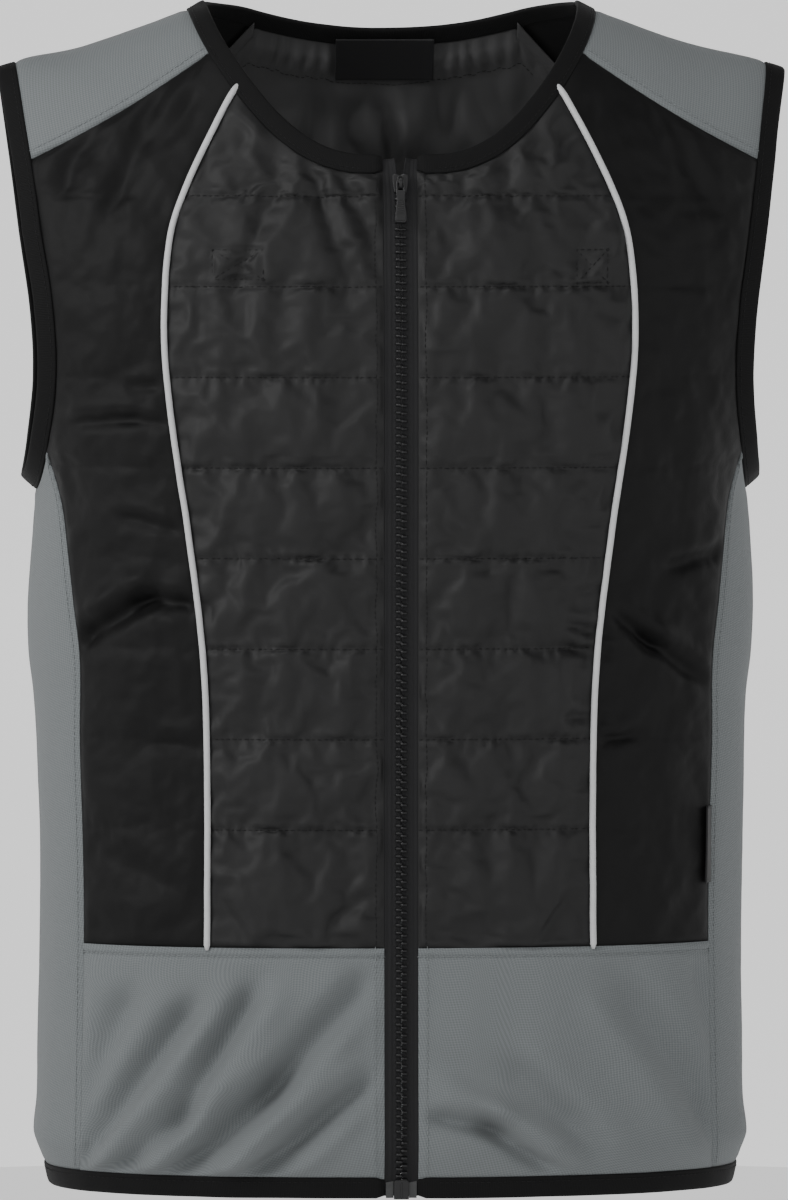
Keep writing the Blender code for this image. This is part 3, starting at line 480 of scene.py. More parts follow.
def outward(point):
    """Direction that faces away from the body at a point of its surface."""
    step = 0.0005
    steps = [Vector((step, 0, 0)), Vector((0, step, 0)), Vector((0, 0, step))]
    slopes = [outside(point + move) - outside(point - move) for move in steps]
    return Vector(slopes).normalized()


# Seams and edges

def neck_at(turn):
    """The neck's edge: turn is 0 at the zip, 90 degrees on the left shoulder, 180 behind."""
    back = math.cos(turn) < 0
    power = 2 / (NECK_BACK_ROUNDNESS if back else NECK_FRONT_ROUNDNESS)
    sine = math.sin(turn)
    x = math.copysign(NECK_HALF_WIDTH * abs(sine) ** power, sine)
    reach = NECK_BACK if back else NECK_FRONT
    y = -math.copysign(reach * abs(math.cos(turn)) ** power, math.cos(turn))
    return body_from_above(x, y)


def neck_turn(x, back):
    """The neck's turn at a half width."""
    power = (NECK_BACK_ROUNDNESS if back else NECK_FRONT_ROUNDNESS) / 2
    turn = math.asin(min(abs(x) / NECK_HALF_WIDTH, 1.0) ** power)
    turn = math.pi - turn if back else turn
    return math.copysign(turn, x)


def neck_z(x, back):
    return neck_at(neck_turn(x, back)).z


def seam_x(table, z):
    return CHEST_HALF_WIDTH * read(table, -z / LENGTH, "drop", "out")


def armhole_x(z):
    return half_width(z) * read(ARMHOLE_EDGE, -z / ARMHOLE_BOTTOM, "drop", "out")


@lru_cache(maxsize=None)
def shoulder_tip():
    """Level at which the armhole crosses the shoulder line."""
    z = 0.0
    for _ in range(6):
        z = ridge(armhole_x(z))
    return z


def armhole_span():
    """The armhole's middle level and half its height."""
    return (shoulder_tip() - ARMHOLE_BOTTOM) / 2, (shoulder_tip() + ARMHOLE_BOTTOM) / 2


def armhole_turn(z):
    """The armhole's turn at a level, from 0 at the shoulder's tip to 180 degrees below."""
    middle, half = armhole_span()
    return math.acos(min(max((z - middle) / half, -1.0), 1.0))


def armhole_at(turn):
    """The left armhole's edge, from the shoulder's tip down the front and up the back."""
    middle, half = armhole_span()
    z = middle + half * math.cos(turn)
    return body(armhole_x(z), z, math.sin(turn) < 0)


def side_edge_x(z):
    """Half width of the front's and the back's outer edge: the armhole, then the side seam."""
    return armhole_x(z) if z > -SEAM_AT_ARMHOLE else seam_x(SIDE_SEAM, z)


def piping_top():
    """Level at which the piping starts from the neck."""
    z = -QUILT_TOP / 2
    for _ in range(30):
        z = mix(z, neck_z(seam_x(PIPING_SEAM, z), False), 0.5)
    return z


def beside(x, z, distance, back=False):
    """The half width that lies a distance along the cloth from x."""
    step = 0.0005
    slope = (body_y(x + step, z, back) - body_y(x - step, z, back)) / (2 * step)
    return x + distance / math.sqrt(1 + slope * slope)


def yoke_seam(share, back, offset=0.0):
    """The yoke's seam from the neck to the armhole, and what lies a little below it."""
    neck_x = YOKE_BACK_AT_NECK if back else YOKE_FRONT_AT_NECK
    arm_z = -(YOKE_BACK_AT_ARM if back else YOKE_FRONT_AT_ARM)
    bow = YOKE_BACK_BOW if back else YOKE_FRONT_BOW
    x = mix(neck_x, armhole_x(arm_z), share)
    z = mix(neck_z(neck_x, back), arm_z, share) - bow * math.sin(math.pi * share)
    return x, z - offset


# Grids of cloth: arrays of points, one row above the other

def grid(columns, rows, place):
    """Points place(share across, row) as an array of rows."""
    return np.array([[place(u, row) for u in columns] for row in range(rows)])


def shares(length, cell, at=()):
    """Even shares of a length, about a cell apart, with an extra close one inside each end."""
    stops = [0.0, *at, 1.0]
    made = [0.0]
    for start, end in zip(stops, stops[1:]):
        count = max(round((end - start) * length / cell), 1)
        made += [mix(start, end, share) for share in even(count)[1:]]
    close = SEAM_ROLL_WIDTH / 2 / length
    return [0.0, close, *made[1:-1], 1 - close, 1.0]


def lengths_along(points, axis):
    """Distance along the cloth from the grid's first row or column."""
    steps = np.linalg.norm(np.diff(points, axis=axis), axis=2)
    start = np.zeros_like(points[:, :1, 0] if axis else points[:1, :, 0])
    return np.concatenate([start, np.cumsum(steps, axis=axis)], axis=axis)


def edge_distance(points):
    """Distance along the cloth from each point to the nearest edge of its grid."""
    across = lengths_along(points, 1)
    up = lengths_along(points, 0)
    return np.minimum(np.minimum(across, across[:, -1:] - across), np.minimum(up, up[-1:] - up))


def crossed(points):
    """A vector across the cloth at each point of a grid."""
    return np.cross(np.gradient(points, axis=1), np.gradient(points, axis=0))


def facing(points):
    """Unit vectors off the cloth, away from the body."""
    normals = crossed(points)
    normals /= np.maximum(np.linalg.norm(normals, axis=2, keepdims=True), 1e-12)
    away = points - np.array([0.0, 0.0, -DOME_FOOT])
    return normals if (normals * away).sum() > 0 else -normals


def finer(points, axis):
    """Twice as many rows or columns, on a smooth curve through those there are."""
    rows = np.moveaxis(points, axis, 0)
    before = np.concatenate([2 * rows[:1] - rows[1:2], rows[:-2]])
    after = np.concatenate([rows[2:], 2 * rows[-1:] - rows[-2:-1]])
    middle = (9 * (rows[:-1] + rows[1:]) - before - after) / 16
    made = np.empty((2 * len(rows) - 1, *rows.shape[1:]))
    made[0::2] = rows
    made[1::2] = middle
    return np.moveaxis(made, 0, axis)


def waves(points, size, seed, stretch=(1.0, 1.0, 1.0)):
    """Smooth noise from -1 to 1 whose waves are about that size."""
    shift = Vector((seed * 7.3, seed * 3.1, seed * 5.7))
    flat = (points * np.array(stretch)).reshape(-1, 3)
    made = [noise.noise(Vector(point) / size + shift) for point in flat]
    return np.array(made).reshape(points.shape[:-1])


def relief(points, seed, ripples):
    """Waves of several heights and sizes, one over another."""
    return sum(ripple.height * waves(points, ripple.size, seed + ripple.seed, ripple.stretch)
               for ripple in ripples)


def fading(distance, width):
    """1 where the distance is 0, and less away from it."""
    return np.exp(-(distance / width) ** 2)


def creases(points, size, seed, stretch=(1.0, 1.0, 1.0)):
    """Noise from 0 to 1 with narrow valleys, as in nylon that has been crushed."""
    return np.abs(waves(points, size, seed, stretch)) * 1.6


def off(points, height):
    """The grid moved off itself by a height at each point."""
    return points + facing(points) * np.asarray(height)[..., None]


def roll(points):
    """How far a panel's edges turn down into their seams."""
    return -SEAM_ROLL * fading(edge_distance(points), SEAM_ROLL_WIDTH)


def fold_relief(folds, points):
    """How far the folds of a table move the front's cloth outwards."""
    total = np.zeros(points.shape[:-1])
    x, z = points[..., 0], points[..., 2]
    for fold in folds:
        start = np.array([fold.side * fold.out * CHEST_HALF_WIDTH, -fold.drop * LENGTH])
        end = np.array([fold.side * fold.end_out * CHEST_HALF_WIDTH, -fold.end_drop * LENGTH])
        run = end - start
        share = ((x - start[0]) * run[0] + (z - start[1]) * run[1]) / (run @ run)
        held = np.clip(share, 0.0, 1.0)
        half = fold.width * FOLD_WIDTH / 2
        past = np.hypot(run[0] * (share - held), run[1] * (share - held)) / half
        up = np.array([-run[1], run[0]]) / np.hypot(*run)
        if up[1] < 0:
            up = -up
        above = ((x - start[0]) * up[0] + (z - start[1]) * up[1]) / half
        fade = np.exp(-0.25 * past * past)
        valley = np.exp(-above * above)
        ridge = FOLD_RIDGE * np.exp(-((above - 1.9) / 1.2) ** 2)
        total -= fold.depth * FOLD_DEPTH * fade * (valley - ridge)
    return total * (points[..., 1] < 0)


def quilt_share(z):
    """0 on a row of stitches and 1 midway between two."""
    channels = (-z - QUILT_TOP) / QUILT_PITCH
    below = (-z - LAST_ROW) / (LOWER_SEAM - LAST_ROW)
    share = np.where(-z > LAST_ROW, below, channels - np.floor(channels))
    share = np.clip(share, 0.0, 1.0)
    return 4 * share * (1 - share)


# Closed pieces of cloth

def ring(rows, columns):
    """A grid's edge, once round, as (row, column)."""
    bottom = [(0, column) for column in range(columns)]
    right = [(row, columns - 1) for row in range(1, rows)]
    top = [(rows - 1, column) for column in range(columns - 2, -1, -1)]
    left = [(row, 0) for row in range(rows - 2, 0, -1)]
    return bottom + right + top + left


def grid_quads(points, first=0):
    """The faces between a grid's points, which are numbered from first."""
    rows, columns = points.shape[:2]
    index = first + np.arange(rows * columns).reshape(rows, columns)
    quads = np.stack([index[:-1, :-1], index[:-1, 1:], index[1:, 1:], index[1:, :-1]], axis=-1)
    return quads.reshape(-1, 4)


def shown(name, data):
    """A new object in the scene."""
    made = bpy.data.objects.new(name, data)
    bpy.context.scene.collection.objects.link(made)
    return made


def cloth_piece(name, outer, inner, finish, lining):
    """A closed piece between an outer and an inner grid, with its UV map in metres."""
    rows, columns = outer.shape[:2]
    count = rows * columns
    quads = grid_quads(outer)
    faces_out = (crossed(outer) * (outer - inner)).sum() > 0
    front = quads if faces_out else quads[:, ::-1]
    back = (quads[:, ::-1] if faces_out else quads) + count
    edge = [row * columns + column for row, column in ring(rows, columns)]
    strips = np.array([(b, a, a + count, b + count) for a, b in zip(edge, edge[1:] + edge[:1])])
    faces = np.concatenate([front, back, strips if faces_out else strips[:, ::-1]])
    mesh = bpy.data.meshes.new(name)
    points = np.concatenate([outer.reshape(-1, 3), inner.reshape(-1, 3)])
    mesh.from_pydata(points.tolist(), [], faces.tolist())
    flat = np.stack([lengths_along(outer, 1), lengths_along(outer, 0)], axis=-1).reshape(-1, 2)
    corners = np.empty(len(mesh.loops), dtype=np.int32)
    mesh.loops.foreach_get("vertex_index", corners)
    mesh.uv_layers.new(name="cloth").data.foreach_set("uv", flat[corners % count].ravel())
    mesh.materials.append(finish)
    mesh.materials.append(lining)
    slots = np.zeros(len(faces), dtype=np.int32)
    slots[len(front):len(front) + len(back)] = 1
    mesh.polygons.foreach_set("material_index", slots)
    mesh.shade_smooth()
    return shown(name, mesh)


def sewn_in(piece, slot, *nodes, body="vest"):
    """Put a finished piece in the place of its CAD nodes."""
    if nodes:
        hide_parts(*nodes)
    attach(piece, body)
    return piece


# The quilted panels

def quilt_levels(per_channel, corner):
    """Levels of a quilted panel's rows from the lower seam up, and which are stitched."""
    first = round((LOWER_SEAM - LAST_ROW) / QUILT_PITCH * per_channel)
    levels = [mix(-LOWER_SEAM, -LAST_ROW, share) for share in even(first)]
    levels.insert(1, -LOWER_SEAM + SEAM_ROLL_WIDTH / 2)
    stitched = [len(levels) - 1]
    for step in range(1, (QUILT_ROWS - 1) * per_channel + 1):
        level = -LAST_ROW + step * QUILT_PITCH / per_channel
        if level > -corner - QUILT_PITCH / per_channel / 3:
            break
        levels.append(level)
        if step % per_channel == 0:
            stitched.append(len(levels) - 1)
    if levels[-1] > -SEAM_AT_ARMHOLE:
        near = min(range(len(levels)), key=lambda row: abs(levels[row] + SEAM_AT_ARMHOLE))
        levels[near] = -SEAM_AT_ARMHOLE
    return levels, stitched


def torso_grid(columns, levels, top_rows, left, right, back, side, top=None):
    """Points of a panel between two edges, with top_rows more that turn to meet its top edge."""
    flat_rows = len(levels)
    close = SEAM_ROLL_WIDTH / 2 / QUILT_PITCH

    def place(u, row):
        if row < flat_rows:
            z = levels[row]
            return body(side * mix(left(z), right(z), u), z, back)
        lift = (row - flat_rows + 1) / top_rows
        lift = 1 - close if lift > 1 - 1.5 / top_rows and lift < 1 else lift
        start_x, start_z = top(0.0)
        end_x, end_z = top(1.0)
        left_z = mix(levels[-1], start_z, lift)
        right_z = mix(levels[-1], end_z, lift)
        edge_left = left(left_z) if lift < 1 else start_x
        edge_right = right(right_z) if lift < 1 else end_x
        top_x, top_z = top(u)
        x = mix(edge_left, edge_right, u) + lift * (top_x - mix(start_x, end_x, u))
        z = mix(left_z, right_z, u) + lift * (top_z - mix(start_z, end_z, u))
        return body(side * x, z, back)

    return grid(columns, flat_rows + top_rows, place)


def front_centre_grid(side):
    """Between the zip and the piping. Returns its grid and its stitched rows."""
    top_x = seam_x(PIPING_SEAM, piping_top())

    def top(u):
        x = mix(ZIP_HALF_WIDTH, top_x, u)
        return x, neck_z(x, False)

    def left(_):
        return ZIP_HALF_WIDTH

    def right(z):
        return seam_x(PIPING_SEAM, z)

    levels, stitched = quilt_levels(16, YOKE_FRONT_AT_ARM)
    columns = shares(0.105, CELL)
    return torso_grid(columns, levels, 14, left, right, False, side, top), stitched


def front_side_grid(side):
    """From the piping to the armhole and the side seam."""
    start_x = seam_x(PIPING_SEAM, piping_top())
    neck_x, _ = yoke_seam(0, False)
    corner = 0.12

    def top(u):
        if u < corner:
            x = mix(start_x, neck_x, u / corner)
            return x, neck_z(x, False)
        return yoke_seam((u - corner) / (1 - corner), False)

    def left(z):
        return seam_x(PIPING_SEAM, z)

    levels, stitched = quilt_levels(16, YOKE_FRONT_AT_ARM)
    columns = shares(0.085, CELL, (corner,))
    return torso_grid(columns, levels, 14, left, side_edge_x, False, side, top), stitched


def back_grid():
    """The whole back between the yokes, the armholes and the side seams."""
    neck_share = 0.5

    def left(z):
        return -side_edge_x(z)

    def top(u):
        away = abs(2 * u - 1)
        if away < neck_share:
            x = YOKE_BACK_AT_NECK * away / neck_share
            z = neck_z(x, True)
        else:
            x, z = yoke_seam((away - neck_share) / (1 - neck_share), True)
        return math.copysign(x, 2 * u - 1), z

    levels, stitched = quilt_levels(11, YOKE_BACK_AT_ARM)
    corners = ((1 - neck_share) / 2, (1 + neck_share) / 2)
    columns = shares(0.400, BACK_CELL, corners)
    return torso_grid(columns, levels, 16, left, side_edge_x, True, 1, top), stitched


def filled(panel, seed):
    """A panel's outer face before it swells: filling, folds, and the nylon's crumples."""
    points = panel.base
    puffed = panel.fullness * PUFF * quilt_share(points[..., 2]) ** PUFF_ROUNDNESS
    ease = 1 - fading(edge_distance(points), FILLING_EASE)
    valleys = 0.5 - creases(points, CREASE_SIZE, seed + 6, UPRIGHT)
    crushed = panel.crumple * (relief(points, seed, CRUMPLES) + CREASE_DEPTH * valleys)
    height = (puffed + relief(points, seed, UNEVEN) + crushed) * ease
    tight = 0.5 + 0.9 * waves(points, 0.016, seed + 4)
    for row in panel.stitched:
        held = -STITCH_DIP * tight[row] * panel.fullness
        height[row] = held + CRUMPLE_AT_ROW * crushed[row] * ease[row]
    return off(points, height + bent(points) + roll(points))


def bent(points):
    """The folds of the nylon, which die away at a panel's seams."""
    return fold_relief(NYLON_FOLDS, points) * (1 - fading(edge_distance(points), FOLD_EASE))


def eased(moved, held, rounds):
    """A panel's movement with its sharpest crumples smoothed away; what is stitched stays."""
    kept = np.where(held, 0.85, 0.4)[..., None]
    for _ in range(rounds):
        wide = np.pad(moved, ((1, 1), (1, 1), (0, 0)), mode="edge")
        around = wide[:-2, 1:-1] + wide[2:, 1:-1] + wide[1:-1, :-2] + wide[1:-1, 2:]
        moved = kept * moved + (1 - kept) / 4 * around
    return moved


def swell(faces, pinned, looseness):
    """Blow the quilted faces up between their stitches, each as far as its looseness says.

    They have more cloth than the stitches leave room for, so they buckle as real ones do.
    """
    starts = np.concatenate([face.reshape(-1, 3) for face in faces])
    quads = []
    first = 0
    for face in faces:
        out = (crossed(face) * facing(face)).sum() > 0
        quads.append(grid_quads(face, first)[:, ::1 if out else -1])
        first += face.size // 3
    mesh = bpy.data.meshes.new("swelling")
    mesh.from_pydata(starts.tolist(), [], np.concatenate(quads).tolist())
    scene = bpy.context.scene
    cloth = shown("swelling", mesh)
    held = cloth.vertex_groups.new(name="stitched")
    mask = np.concatenate([mark.ravel() for mark in pinned])
    held.add(np.nonzero(mask)[0].tolist(), 1.0, "REPLACE")
    step = cloth.modifiers.new("swell", "CLOTH")
    for setting, value in NYLON_CLOTH.items():
        setattr(step.settings, setting, value)
    step.settings.effector_weights.gravity = 0.0
    step.collision_settings.use_collision = False
    step.point_cache.frame_start = 1
    step.point_cache.frame_end = SWELL_FRAMES
    for moment in range(1, SWELL_FRAMES + 1):
        scene.frame_set(moment)
    evaluated = cloth.evaluated_get(bpy.context.evaluated_depsgraph_get())
    ends = np.empty(len(starts) * 3)
    evaluated.data.vertices.foreach_get("co", ends)
    bpy.data.objects.remove(cloth)
    bpy.data.meshes.remove(mesh)
    scene.frame_set(1)
    moved = ends.reshape(-1, 3) - starts
    reach = np.linalg.norm(moved, axis=1, keepdims=True)
    moved *= SWELL_CAP * np.tanh(reach / SWELL_CAP) / np.maximum(reach, 1e-9)
    made = []
    first = 0
    for face, held, (share, rounds) in zip(faces, pinned, looseness):
        own = moved[first:first + face.size // 3].reshape(face.shape)
        made.append(face + share * eased(own, held, rounds))
        first += face.size // 3
    return made


def pucker(points, rows, seed):
    """Short gathers that a row of stitches draws up on either side of it."""
    along = lengths_along(points, 1)
    up = lengths_along(points, 0)
    ripple = np.sin(along / PUCKER_PITCH * 2 * math.pi + 5 * waves(points, 0.022, seed))
    strength = 0.5 + 0.5 * waves(points, 0.030, seed + 2)
    return sum(ripple * strength * fading(up - up[row], PUCKER_REACH) for row in rows)


def quilted_panel(panel, face, seed):
    """A panel with its swollen outer face and its lining, as one closed pad."""
    face = finer(finer(face, 0), 1)
    base = finer(finer(panel.base, 0), 1)
    rows = [2 * row for row in panel.stitched]
    away = edge_distance(base)
    ease = 1 - fading(away, PUCKER_EASE)
    fine = PUCKER * panel.fullness * pucker(base, rows, seed)
    fine += FINE_CREASE * (creases(base, 0.012, seed + 5) - 0.4)
    outer = off(face, fine * ease - pressed_squares(base))
    wall = EDGE_WALL + (QUILTED_WALL - EDGE_WALL) * (1 - fading(away, PAD_EASE))
    wall += ease * (LINING_PUFF * quilt_share(base[..., 2]) ** PUFF_ROUNDNESS
                    + relief(base, seed, LINING_UNEVEN) + LINING_PUCKER * pucker(base, rows, seed + 9))
    if panel.name == "back_panel":
        wall += ease * gathers(base)
    stands = ((outer - base) * facing(base)).sum(axis=-1)
    inner = off(base, np.minimum(bent(base) - wall, stands - THINNEST_PAD))
    # The side panels take the nylon darkened with painted shade.
    nylon = PAINTED_SHADE_NYLON if "side" in panel.name else NYLON
    # The lining faces take the nylon lightened with painted sheen.
    return cloth_piece("quilted_" + panel.name, outer, inner, nylon, SHEEN_PAINTED_LINING), outer, inner, rows


def square_runs(square):
    """The four sides and two diagonals of a stitched square, as pairs of (x, z)."""
    corners = [(square.side * square.out + across * square.width, -square.drop + up * square.height)
               for across, up in oblong(0.5, -0.5, 0.5)]
    sides = list(zip(corners, corners[1:] + corners[:1]))
    return sides + [(corners[0], corners[2]), (corners[1], corners[3])]


def pressed_squares(points):
    """How deep the stitched squares press the front's cloth in."""
    deepest = np.zeros(points.shape[:-1])
    for square in SQUARES:
        for start, end in square_runs(square):
            start, end = np.array(start), np.array(end)
            run = end - start
            away = points[..., [0, 2]] - start
            share = np.clip((away @ run) / (run @ run), 0, 1)
            gap = np.linalg.norm(away - share[..., None] * run, axis=-1)
            deepest = np.maximum(deepest, square.depth * fading(gap, 0.0017))
    return deepest * (points[..., 1] < 0)


def square_stitches(square, outer):
    """A stitched square's lines on a panel's outer face."""
    normals = facing(outer).reshape(-1, 3)
    flat = outer.reshape(-1, 3)
    lines = []
    for start, end in square_runs(square):
        line = []
        for share in even(12):
            x, z = mix(start[0], end[0], share), mix(start[1], end[1], share)
            near = int(np.argmin((flat[:, 0] - x) ** 2 + (flat[:, 2] - z) ** 2))
            line.append((Vector((x, flat[near, 1], z)), Vector(normals[near])))
        lines.append(line)
    return lines


def gathers(points):
    """Upright folds that the neck's edge draws up in the back's lining, above and below a seam."""
    up = lengths_along(points, 0)
    below = up[-1:] - up
    near = np.exp(-(points[..., 0] / (0.9 * NECK_HALF_WIDTH)) ** 4)
    narrow = np.sin(points[..., 0] / GATHER_PITCH * 2 * math.pi + 3.5 * waves(points, 0.02, 31))
    narrow *= 0.6 + 0.4 * waves(points, 0.013, 33)
    wide = waves(points, 0.017, 37, (1.0, 0.3, 0.40))
    beside_label = 1 - 0.8 * np.exp(-(points[..., 0] / (0.5 * NECK_LABEL_WIDTH)) ** 6)
    upper = UPPER_GATHERS * (1 + narrow) * beside_label
    upper *= fading(below - UPPER_GATHERS_AT, UPPER_GATHERS_REACH)
    lower = LOWER_GATHERS * np.abs(wide + 0.25) * fading(below - LOWER_GATHERS_AT, LOWER_GATHERS_REACH)
    sewn = -LINING_SEAM_DIP * (0.6 + 0.4 * narrow) * fading(below - LINING_SEAM, LINING_SEAM_WIDTH)
    return near * (upper + lower + sewn)


# The plain knit pieces

def with_close_ends(levels):
    """Levels with an extra one close inside each end."""
    close = math.copysign(SEAM_ROLL_WIDTH / 2, levels[-1] - levels[0])
    return [levels[0], levels[0] + close, *levels[1:-1], levels[-1] - close, levels[-1]]


def knit_piece(name, base, seed, lining, folds=(), seam_rows=()):
    """A plain knit piece, with the wide soft folds of the photograph."""
    if seam_rows:
        base = finer(finer(base, 0), 0)
    ease = 1 - fading(edge_distance(base), KNIT_EASE)
    height = ease * (KNIT_FOLDING * fold_relief(folds, base) + relief(base, seed, KNIT_UNEVEN))
    height += roll(base) * KNIT_ROLL
    up = lengths_along(base, 0)
    for at in seam_rows:
        below = up[-1:] - up - at
        height -= TOPSTITCH_DIP * fading(below, TOPSTITCH_WIDTH)
        height += SEAM_LIFT * (below < 0) * (1 - fading(below, SEAM_LIFT_WIDTH))
    outer = finer(off(base, height), 1)
    if not seam_rows:
        outer = finer(outer, 0)
    inner = off(outer, np.full(outer.shape[:2], -KNIT_WALL))
    return cloth_piece(name, outer, inner, KNIT, lining), outer


def band_levels():
    count = round((LENGTH - HEM_BAND - LOWER_SEAM) / KNIT_CELL)
    return with_close_ends([mix(-(LENGTH - HEM_BAND), -LOWER_SEAM, share) for share in even(count)])


def front_band_grid(side):
    def right(z):
        return seam_x(SIDE_SEAM, z)

    columns = shares(0.172, KNIT_CELL)
    return torso_grid(columns, band_levels(), 0, lambda _: ZIP_HALF_WIDTH, right, False, side)


def back_band_grid():
    columns = shares(0.375, 2 * KNIT_CELL)
    return torso_grid(columns, band_levels(), 0, lambda z: -seam_x(SIDE_SEAM, z),
                      lambda z: seam_x(SIDE_SEAM, z), True, 1)


def side_panel_grid(side):
    """Under the arm, from the hem up to the armhole."""
    first = armhole_turn(-SEAM_AT_ARMHOLE)
    rows = 90
    bottom = -(LENGTH - HEM_BAND)

    def seam_angle(z, back):
        return angle_round(seam_x(SIDE_SEAM, z), z, back)

    def place(u, row):
        top = armhole_at(mix(first, 2 * math.pi - first, u))
        if row == rows:
            return on_side(side, top)
        top_angle = angle_round(top.x, top.z, top.y > 0)
        front_top, back_top = seam_angle(top.z, False), seam_angle(top.z, True)
        top_share = min(max((top_angle - front_top) / (back_top - front_top), 0.0), 1.0)
        z = mix(bottom, top.z, row / rows)
        lift = max(z + LOWER_SEAM, 0.0) / (top.z + LOWER_SEAM)
        share = mix(top_share, u, min((1 - lift) * 3, 1.0))
        return on_side(side, body_round(mix(seam_angle(z, False), seam_angle(z, True), share), z))

    return grid(shares(0.125, KNIT_CELL), rows + 1, place)


def yoke_grid(side):
    """Over the shoulder, from the front seam to the back seam."""
    neck_front, neck_back = neck_turn(YOKE_FRONT_AT_NECK, False), neck_turn(YOKE_BACK_AT_NECK, True)
    arm_front, arm_back = armhole_turn(-YOKE_FRONT_AT_ARM), -armhole_turn(-YOKE_BACK_AT_ARM)
    rows = 40

    def seam(u, back):
        return body(*yoke_seam(u, back), back)

    def place(u, row):
        v = row / rows
        if row in (0, rows):
            point = seam(u, row == rows)
        else:
            corners = mix(mix(seam(0, False), seam(1, False), u), mix(seam(0, True), seam(1, True), u), v)
            across = mix(seam(u, False), seam(u, True), v)
            inner = mix(neck_at(mix(neck_front, neck_back, v)), armhole_at(mix(arm_front, arm_back, v)), u)
            point = across + inner - corners
            point = body_from_above(point.x, point.y)
        return on_side(side, point)

    return grid(shares(0.115, KNIT_CELL), rows + 1, place)


# Bound edges: a folded tape swept along an edge

Frame = namedtuple("Frame", "point reach up")


def edge_frames(path, turns, side=1, flare=0.0):
    """Where the band starts along an edge, which way it carries on, and its upper side."""
    step = 0.01
    made = []
    for turn in turns:
        point = path(turn)
        along = (path(turn + step) - path(turn - step)).normalized()
        normal = outward(point)
        reach = normal.cross(along).normalized()
        reach = (reach + Vector((flare * (1 - math.cos(turn)) / 2, 0, 0))).normalized()
        up = reach.cross(along).normalized()
        up = up if up.dot(normal) > 0 else -up
        made.append(Frame(*(on_side(side, vector) for vector in (point, reach, up))))
    return made


def hem_frames(angles):
    """The same for the hem's band, which hangs from the lower bands and the side panels."""
    z = -(LENGTH - HEM_BAND)
    made = []
    for angle in angles:
        point = body_round(angle, z)
        below = body_round(angle, z - HEM_BAND)
        reach = (below - point).normalized()
        normal = outward(point)
        up = (normal - reach * normal.dot(reach)).normalized()
        made.append(Frame(point, reach, up))
    return made


def band_section(width, count=22):
    """The folded tape across its width, as (reach, up), once round from its inner edge."""
    made = []
    middle = (width - BAND_LAP) / 2
    half = (width + BAND_LAP) / 2
    for step in range(count):
        turn = math.pi - 2 * math.pi * step / count
        reach = middle + half * math.copysign(abs(math.cos(turn)) ** 0.55, math.cos(turn))
        up = BAND_WALL / 2 * math.copysign(abs(math.sin(turn)) ** 0.45, math.sin(turn))
        pinch = math.exp(-((reach - BAND_STITCH) / 0.0011) ** 2)
        made.append((reach, up * (1 - 0.22 * pinch)))
    return made


def band(name, frames, width, closed, seed):
    """Sweep the folded tape along its frames. Returns the piece and its line of stitches."""
    section = band_section(width)
    cap = [(mix(width / 2, reach, BAND_CAP), up * BAND_CAP) for reach, up in section]
    mesh = bmesh.new()
    mesh.loops.layers.uv.new("cloth")
    rings, stitches = [], []
    for index, (point, reach, up) in enumerate(frames):
        wave = noise.noise(point / 0.014 + Vector((seed, 0, 0)))
        swing = 0.00035 * noise.noise(point / 0.035 + Vector((0, seed, 0)))
        shape = cap if not closed and index in (0, len(frames) - 1) else section
        swell_by = 1 + BAND_WAVE * wave
        rings.append([mesh.verts.new(point + reach * (r + swing) + up * (h * swell_by - BAND_SINK))
                      for r, h in shape])
        top = BAND_WALL / 2 * 0.80 - BAND_SINK
        stitches.append((point + reach * (BAND_STITCH + swing) + up * top, up))
    skin(mesh, rings, 2 * (width + BAND_WALL), closed)
    return mesh_piece(name, mesh, BINDING), stitches if closed else stitches[3:-3]


def skin(mesh, rings, girth=0.0, closed=False):
    """Faces over rings of vertices, with the UV map in metres if they have a girth."""
    along = mesh.loops.layers.uv.active
    count = len(rings[0])
    span = 0.0
    for first, second in zip(rings, rings[1:] + rings[:1] if closed else rings[1:]):
        reach = (first[0].co - second[0].co).length
        for index in range(count):
            after = (index + 1) % count
            face = mesh.faces.new((first[index], first[after], second[after], second[index]))
            if girth:
                marks = ((span, index), (span, index + 1), (span + reach, index + 1), (span + reach, index))
                for corner, (way, turn) in zip(face.loops, marks):
                    corner[along].uv = (way, girth * turn / count)
        span += reach
    if not closed:
        mesh.faces.new(rings[0][::-1])
        mesh.faces.new(rings[-1])
    bmesh.ops.recalc_face_normals(mesh, faces=mesh.faces)


def mesh_piece(name, mesh, finish, smooth=True):
    """A finished bmesh as an object in the scene."""
    made = mesh_shape(name, mesh)
    made.data.materials.append(finish)
    if smooth:
        made.data.shade_smooth()
    bpy.context.scene.collection.objects.link(made)
    return made


def swept_tube(name, points, radius, sides, finish):
    """A round cord along points, with its UV map in metres and rounded ends."""
    mesh = bmesh.new()
    mesh.loops.layers.uv.new("cloth")
    rings = []
    last = len(points) - 1
    for index, point in enumerate(points):
        ahead = (points[min(index + 1, last)] - points[max(index - 1, 0)]).normalized()
        aside = ahead.cross(outward(point)).normalized()
        up = aside.cross(ahead)
        size = radius * (0.45 if index in (0, last) else 1.0)
        rings.append([mesh.verts.new(point + (aside * math.cos(turn) + up * math.sin(turn)) * size)
                      for turn in (2 * math.pi * side / sides for side in range(sides))])
    skin(mesh, rings, 2 * math.pi * radius)
    return mesh_piece(name, mesh, finish)


# What repeats along a line: stitches and zip teeth

